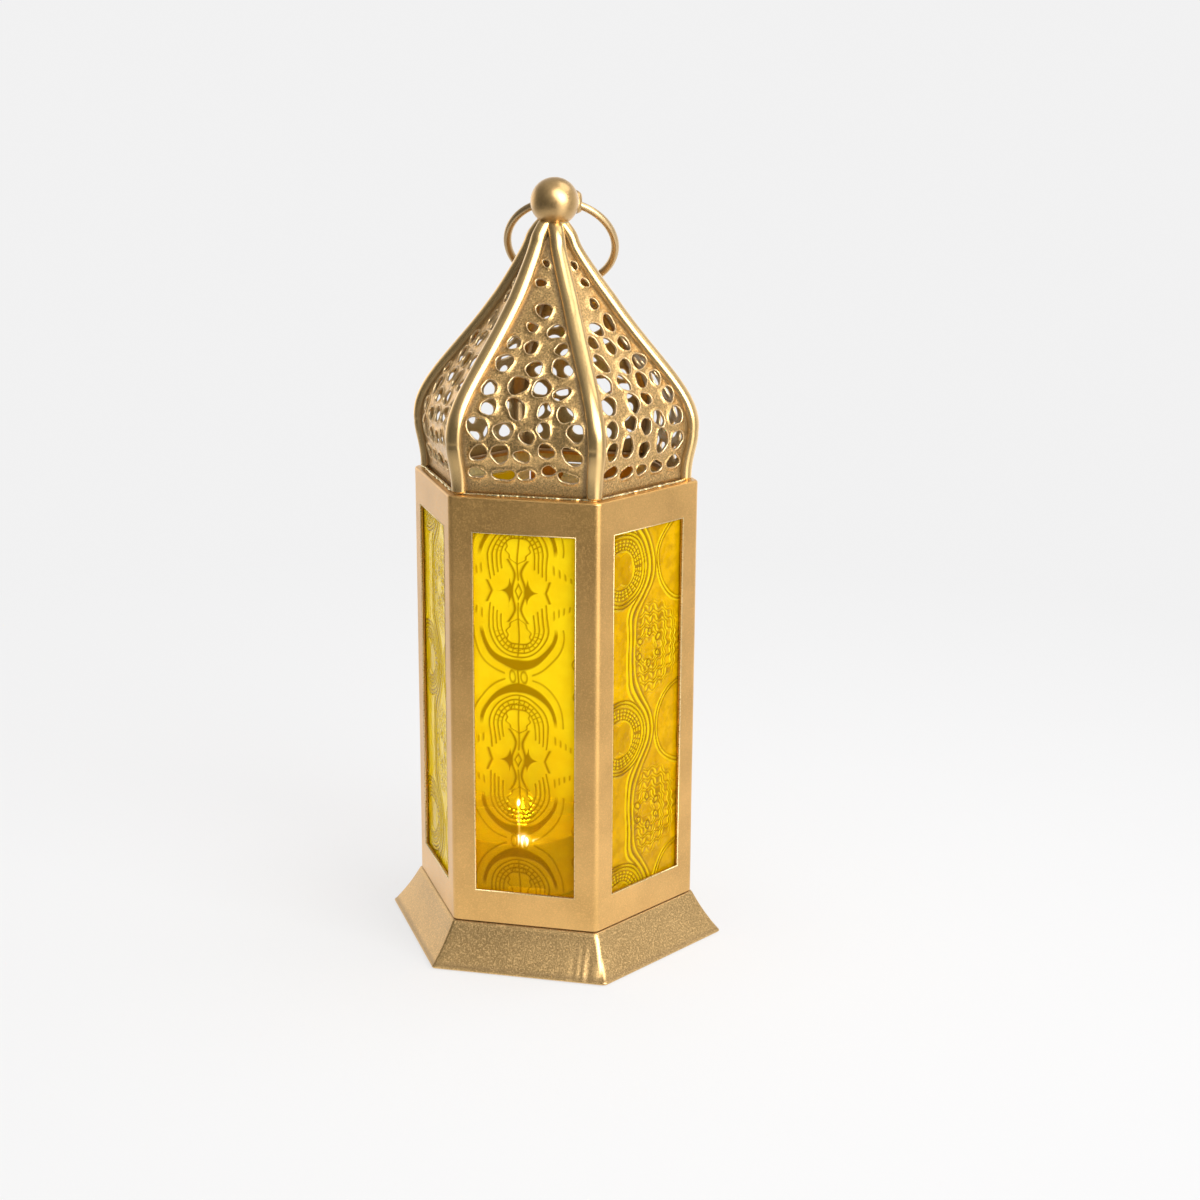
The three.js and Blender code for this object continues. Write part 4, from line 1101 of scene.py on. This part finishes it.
def make_pane(node_name, face, body="root"):
    """A pressed pane: a fine grid with the relief on its outer side, and flat on its inner side."""
    chain, shift_across, shift_up, tone, haze_low = PANE_CUTS[node_name]
    low, high = box(node_name)
    half = (WINDOW_HALF + GLASS_LAP) if face != DOOR_FACE else high[0]
    cell = 0.24 if face in (0, 1) else 0.34
    across = np.linspace(-half, half, int(2 * half / cell) + 1)
    up = np.linspace(low[2], high[2], int((high[2] - low[2]) / cell) + 1)
    u, v = np.meshgrid(across, up)
    bent_u = u + 0.16 * np.sin(v / 2.1 + 1.3) + 0.1 * np.sin(u / 1.3 + v / 3.7)
    bent_v = v + 0.1 * np.sin(u / 1.7 + 0.5) + 0.1 * np.sin(v / 1.5 - u / 2.9)
    relief = np.clip(chain(bent_u + shift_across, bent_v - shift_up), 0, 1)
    wave = 0.04 * np.sin(u / 3.1 + 1) * np.sin(v / 4.7) + 0.02 * np.sin(u / 1.7 - v / 5.3)
    x = GLASS_SEAT - RELIEF_DEPTH * (1 - relief) - 0.1 + wave
    back_x = GLASS_SEAT - GLASS_THICKNESS
    back = [(back_x, *corner) for corner in rectangle(half, low[2], high[2])]
    points = np.concatenate([np.stack([x.ravel(), u.ravel(), v.ravel()], 1), back])
    rows, columns = u.shape
    count = rows * columns
    b0, b1, b2, b3 = range(count, count + 4)
    bottom, top = range(columns), range(count - columns, count)
    left, right = range(0, count, columns), range(columns - 1, count, columns)
    faces = loft_faces(rows, columns, around=False)
    faces += [(*bottom[::-1], b0, b1), (*top, b2, b3), (*left, b3, b0), (*right[::-1], b1, b2)]
    faces.append((b0, b3, b2, b1))
    flat = range(len(faces) - 5, len(faces))
    risen = np.clip((points[:, 2] - HAZE_START) / (HAZE_END - HAZE_START), 0, 1)
    haze = lerp(haze_low, max(haze_low, HAZE_HIGH), risen)
    steep = np.gradient(relief, axis=1) / (across[1] - across[0])
    steep_up = np.gradient(relief, axis=0) / (up[1] - up[0])
    flank_highlight = lerp(0.25, 1.0, tone) * np.clip(0.8 * steep + 0.25 * steep_up, 0, 1)
    glow = np.zeros_like(u)
    for a, b, wide, tall, strength in GLOWS if face == 0 else ():
        glow += strength * hump(u - a, wide) * hump(v - b, tall) * (0.35 + steep.clip(0, 1))
    # Painted highlight: the light amber is high on the relief's flanks that face the light from the right,
    # and tone makes all of a pane deeper as painted shade
    values = {"tone": np.full(count + 4, tone), "haze": haze}
    for label, numbers in (("relief", relief), ("glow", glow), ("flank_highlight", flank_highlight)):
        values[label] = np.concatenate([numbers.ravel(), np.zeros(4)])
    points = turned(points, face_angle(face))
    add_piece(node_name + "_pressed", points, faces, glass, body, [node_name], values, flat)


def make_panes():
    """The five panes in the casing and the one in the door, which isn't counted."""
    number = 0
    for face in range(SIDES):
        if face == DOOR_FACE:
            make_pane("door_glass", face, "door")
            continue
        number += 1
        make_pane(f"glass_pane_{number}", face)


def make_candle():
    """The tealight in its fluted foil cup, with a lit wick."""
    low, high = box("tealight_cup")
    centre = (low[:2] + high[:2]) / 2
    radius, bottom, top = (high[0] - low[0]) / 2, low[2], high[2]
    wax_top = box("tealight_wax")[1][2]
    wick_low, wick_high = (corner[2] for corner in box("wick"))
    outside = [(radius, 0.3), (1.2, 0), (0.3, 0.3), (0.1, 1.2)]
    lip = [(0.12, -1.2), (0, -0.35), (0.05, -0.05), (0.3, 0), (0.45, -0.4)]
    back = [(0.5, 1.2), (1.5, 0.45), (radius, 0.5)]
    parts = ((outside, bottom), (lip, top), (back, bottom))
    points, faces = lathe([(radius - inward, level + z) for part, level in parts for inward, z in part], 180)
    turn = np.arctan2(points[:, 1], points[:, 0])
    on_wall = between(points[:, 2], bottom + 0.8, top - 0.8, 0.4)
    points[:, :2] *= (1 - 0.006 * (1 + np.cos(45 * turn)) * on_wall)[:, None]
    points[:, :2] += centre
    add_piece("foil_cup", points, faces, candle_foil, replaces=["tealight_cup"])
    inside, foot = radius - 0.62, bottom + 1.2 - wax_top
    profile = [(0, foot), (inside, foot), (inside, 0), (inside - 0.8, -0.35)]
    profile += [(inside * 0.6, -0.55), (3.0, -0.75), (1.1, -0.55), (0, -0.5)]
    points, faces = lathe([(across, wax_top + z) for across, z in profile], 72)
    points[:, :2] += centre
    add_piece("wax", points, faces, candle_wax, replaces=["tealight_wax", "wick_foot"])
    strands = [(0.6 + 0.08 * (k % 2), lerp(wick_low, wick_high - 0.3, k / 11)) for k in range(12)]
    points, faces = lathe([(0, wick_low), *strands, (0, wick_high)], 12)
    points[:, 0] += FLAME_OFFSET * np.clip((points[:, 2] - wax_top) / 4, 0, 1) ** 2
    points[:, :2] += centre
    add_piece("wick_lit", points, faces, wick_cotton, replaces=["wick"])
    shares = [k / 24 for k in range(25)]
    widths = [0, *(FLAME_RADIUS * math.sin(math.pi * t**0.62) ** 1.1 for t in shares[1:-1]), 0]
    points, faces = lathe([(w, wick_high - 0.9 + FLAME_HEIGHT * t) for w, t in zip(widths, shares)], 24)
    height = (points[:, 2] - points[:, 2].min()) / FLAME_HEIGHT
    points += (centre[0] + FLAME_OFFSET, centre[1], 0)
    add_piece("flame", points, faces, flame, values={"height": height})


def make_door():
    """The door's frame with a pressed border, its knob, hinges and turn button."""
    glass_box = box("door_glass")
    half = glass_box[1][0] - GLASS_LAP
    bottom, top = glass_box[0][2] + GLASS_LAP, glass_box[1][2] - GLASS_LAP
    outer, inner = rectangle(DOOR_HALF, DOOR_BOTTOM, DOOR_TOP), rectangle(half, bottom, top)
    profile = [(0, -BODY_SHEET), (0, -0.2), (0.03, -0.08), (0.16, -0.08), (0.24, 0.0)]
    profile += [(1 - share, depth) for share, depth in profile[::-1]]
    points = []
    for share, depth in profile:
        for (oy, oz), (iy, iz) in zip(outer, inner):
            points.append((BODY_FACE + depth, lerp(oy, iy, share), lerp(oz, iz, share)))
    points = turned(points, face_angle(DOOR_FACE))
    faces = loft_faces(len(profile), 4, closed=True)
    piece = add_piece("door_leaf", points, faces, casing_paint, "door", ["door_frame"], outward=True)
    soften(piece, 0.08)
    low, high = box("door_knob")
    reach, radius = high[1] - low[1], (high[0] - low[0]) / 2
    profile = [(0, 0), (1.75, 0), (1.9, 0.15), (1.85, 0.5), (1.2, 0.95), (1.05, 1.3)]
    profile += arc((0, reach - radius), radius, -60, 86, 20) + [(0, reach)]
    points, faces = lathe(profile, 40)
    points = points[:, [2, 1, 0]] * (1, 1, -1) + (low[1], -(low[0] + high[0]) / 2, (low[2] + high[2]) / 2)
    points = turned(points, face_angle(DOOR_FACE))
    add_piece("knob", points, faces, fittings_paint, "door", ["door_knob"], outward=True)
    for name in ("door_catch", "door_catch_rivet", "hinge_lower_pin", "hinge_upper_pin"):
        refined(name, fittings_paint)
    for level in ("lower", "upper"):
        for side in ("body", "door"):
            refined(f"hinge_{level}_{side}_leaf", fittings_paint, 0.1)


def make_tin():
    """The floor and the clips that hold the panes."""
    refined("floor_plate", inner_tin, 0.15)
    for level in ("bottom", "top"):
        for number in range(1, SIDES):
            refined(f"pane_clip_{level}_{number}", inner_tin, 0.1)
        refined(f"door_clip_{level}", inner_tin, 0.1)


def make_camera():
    """The camera that was fitted to the photograph, aimed at CAMERA_TARGET and turned by its roll."""
    azimuth, roll = math.radians(CAMERA_AZIMUTH), math.radians(CAMERA_ROLL)
    back = direction(CAMERA_AZIMUTH, CAMERA_ELEVATION)
    right = Vector((math.cos(azimuth), math.sin(azimuth), 0))
    up = back.cross(right)
    c, s = math.cos(roll), math.sin(roll)
    data = bpy.data.cameras.new("camera")
    data.sensor_width = 36
    data.lens = data.sensor_width * FOCAL_PIXELS / PHOTO_SIDE
    data.clip_start, data.clip_end = 0.01, 50
    camera = linked("camera", data)
    axes = Matrix((c * right + s * up, -s * right + c * up, back)).transposed()
    place = (Vector(CAMERA_TARGET) + back * CAMERA_DISTANCE) * MM
    camera.matrix_world = Matrix.Translation(place) @ axes.to_4x4()
    bpy.context.scene.camera = camera


FLOOR_RADIUS = 6000
BACKGROUND = (0.885, 0.883, 0.885, 1)

# Directions to what the metal mirrors: the bright wall behind, the dim side, the glowing side, a light panel
BEHIND = Vector((-0.087, 0.996, 0.0))
DIM_SIDE = Vector((-0.95, -0.31, 0.0))
GLOW_SIDE = Vector((0.83, -0.56, 0.0))
PANEL_LIGHT = Vector((0.472, -0.604, 0.643))


def toward(tree, way, axis):
    """How nearly a direction is that of an axis: 1 along it, 0 across it."""
    return vector_math(tree, "DOT_PRODUCT", way, axis, output="Value")


def mirrored_room(tree, way):
    """How bright the room is in a horizontal direction as metal mirrors it: dim in front and to the left,
    bright behind, with a glow to the right of the front."""
    unit = vector_math(tree, "NORMALIZE", vector_math(tree, "MULTIPLY", way, (1, 1, 0)))
    back = spread(tree, toward(tree, unit, BEHIND), -0.3, 0.9, 0.15, 1.49)
    dim = spread(tree, toward(tree, unit, DIM_SIDE), 0.5, 0.95, 1, 0.64)
    glow = spread(tree, toward(tree, unit, GLOW_SIDE), 0.86, 1.0, 0, 2.2)
    return math_of(tree, "ADD", math_of(tree, "MULTIPLY", back, dim), glow)


def make_floor():
    """A plain pale floor that is seen as the background and keeps the lantern's soft shadow."""
    points, faces = lathe([(0, -0.2), (FLOOR_RADIUS / 20, -0.2), (FLOOR_RADIUS, -0.2)], 64)
    made, tree, output = material("pale_floor")
    pale = mixed(tree, grain(tree, 60.0), (0.84, 0.84, 0.84, 1), (0.86, 0.86, 0.86, 1))
    matt = node(tree, "ShaderNodeBsdfPrincipled", {"Base Color": pale, "Roughness": 0.8})
    rays = node(tree, "ShaderNodeLightPath").outputs
    seen = math_of(tree, "MAXIMUM", rays["Is Camera Ray"], rays["Is Transmission Ray"])
    place = node(tree, "ShaderNodeTexCoord").outputs["Object"]
    far = vector_math(tree, "LENGTH", place, output="Value")
    share = math_of(tree, "MULTIPLY", seen, spread(tree, far, 0.08, 0.4, 0.72, 1.0))
    amount = math_of(tree, "MAXIMUM", share, rays["Is Glossy Ray"])
    mirrored = chosen(tree, spread(tree, far, 0.05, 0.45), 1.3, mirrored_room(tree, place))
    level = chosen(tree, rays["Is Glossy Ray"], 1.0, mirrored)
    light = node(tree, "ShaderNodeEmission", {"Color": BACKGROUND, "Strength": level})
    inputs = {0: amount, 1: matt.outputs[0], 2: light.outputs[0]}
    mesh = bpy.data.meshes.new("floor")
    mesh.from_pydata((points * MM).tolist(), [], faces)
    mesh.materials.append(shaded_by(made, output, node(tree, "ShaderNodeMixShader", inputs)))
    linked("floor", mesh)


def make_world():
    """A plain pale surround, dimmer in front where metal mirrors the room."""
    world = bpy.data.worlds.new("studio")
    bpy.context.scene.world = world
    world.use_nodes = True
    tree = world.node_tree
    tree.nodes.clear()
    rays = node(tree, "ShaderNodeLightPath").outputs
    way = node(tree, "ShaderNodeTexCoord").outputs["Generated"]
    height = node(tree, "ShaderNodeSeparateXYZ", {0: way}).outputs["Z"]
    dim = spread(tree, toward(tree, way, DIM_SIDE), 0.35, 0.75, 0.57, 0.2)
    room = chosen(tree, spread(tree, height, 0.12, 0.6), mirrored_room(tree, way), dim)
    room = math_of(tree, "ADD", room, spread(tree, toward(tree, way, PANEL_LIGHT), 0.885, 0.965, 0, 5.5))
    level = chosen(tree, rays["Is Glossy Ray"], 1.0, room)
    light = node(tree, "ShaderNodeBackground", {"Color": BACKGROUND, "Strength": level})
    output = tree.nodes.new("ShaderNodeOutputWorld")
    tree.links.new(light.outputs[0], output.inputs[0])


def make_lamp(name, azimuth, elevation, distance, size, power, color=(1, 1, 1)):
    """A soft square lamp that looks at the lantern's middle, with distance and size in metres."""
    data = bpy.data.lights.new(name, "AREA")
    data.size = size
    data.energy = power
    data.color = color
    lamp = linked(name, data)
    back = direction(azimuth, elevation)
    lamp.location = Vector((0, 0, 0.1)) + back * distance
    lamp.rotation_mode = "QUATERNION"
    lamp.rotation_quaternion = back.to_track_quat("Z", "Y")


def make_lights():
    """A bright lamp at the front right, one high behind it at the right, and a weak warm one at the left."""
    make_lamp("key", 56, 24, 0.8, 0.5, 5.0)
    make_lamp("side", 118, 58, 1.0, 0.6, 2.2)
    make_lamp("fill", -118, 4, 0.9, 0.6, 0.7, (1, 0.84, 0.6))


make_casing()
make_window_edges()
make_skirt()
roof_path = RoofSheet()
for roof_face in range(SIDES):
    make_roof_sheet(roof_face, roof_path)
make_ribs()
make_solder()
make_finial()
make_ring()
make_eye()
make_panes()
make_door()
make_tin()
make_candle()
make_camera()
make_floor()
make_world()
make_lights()
bpy.context.scene.view_settings.view_transform = "Standard"
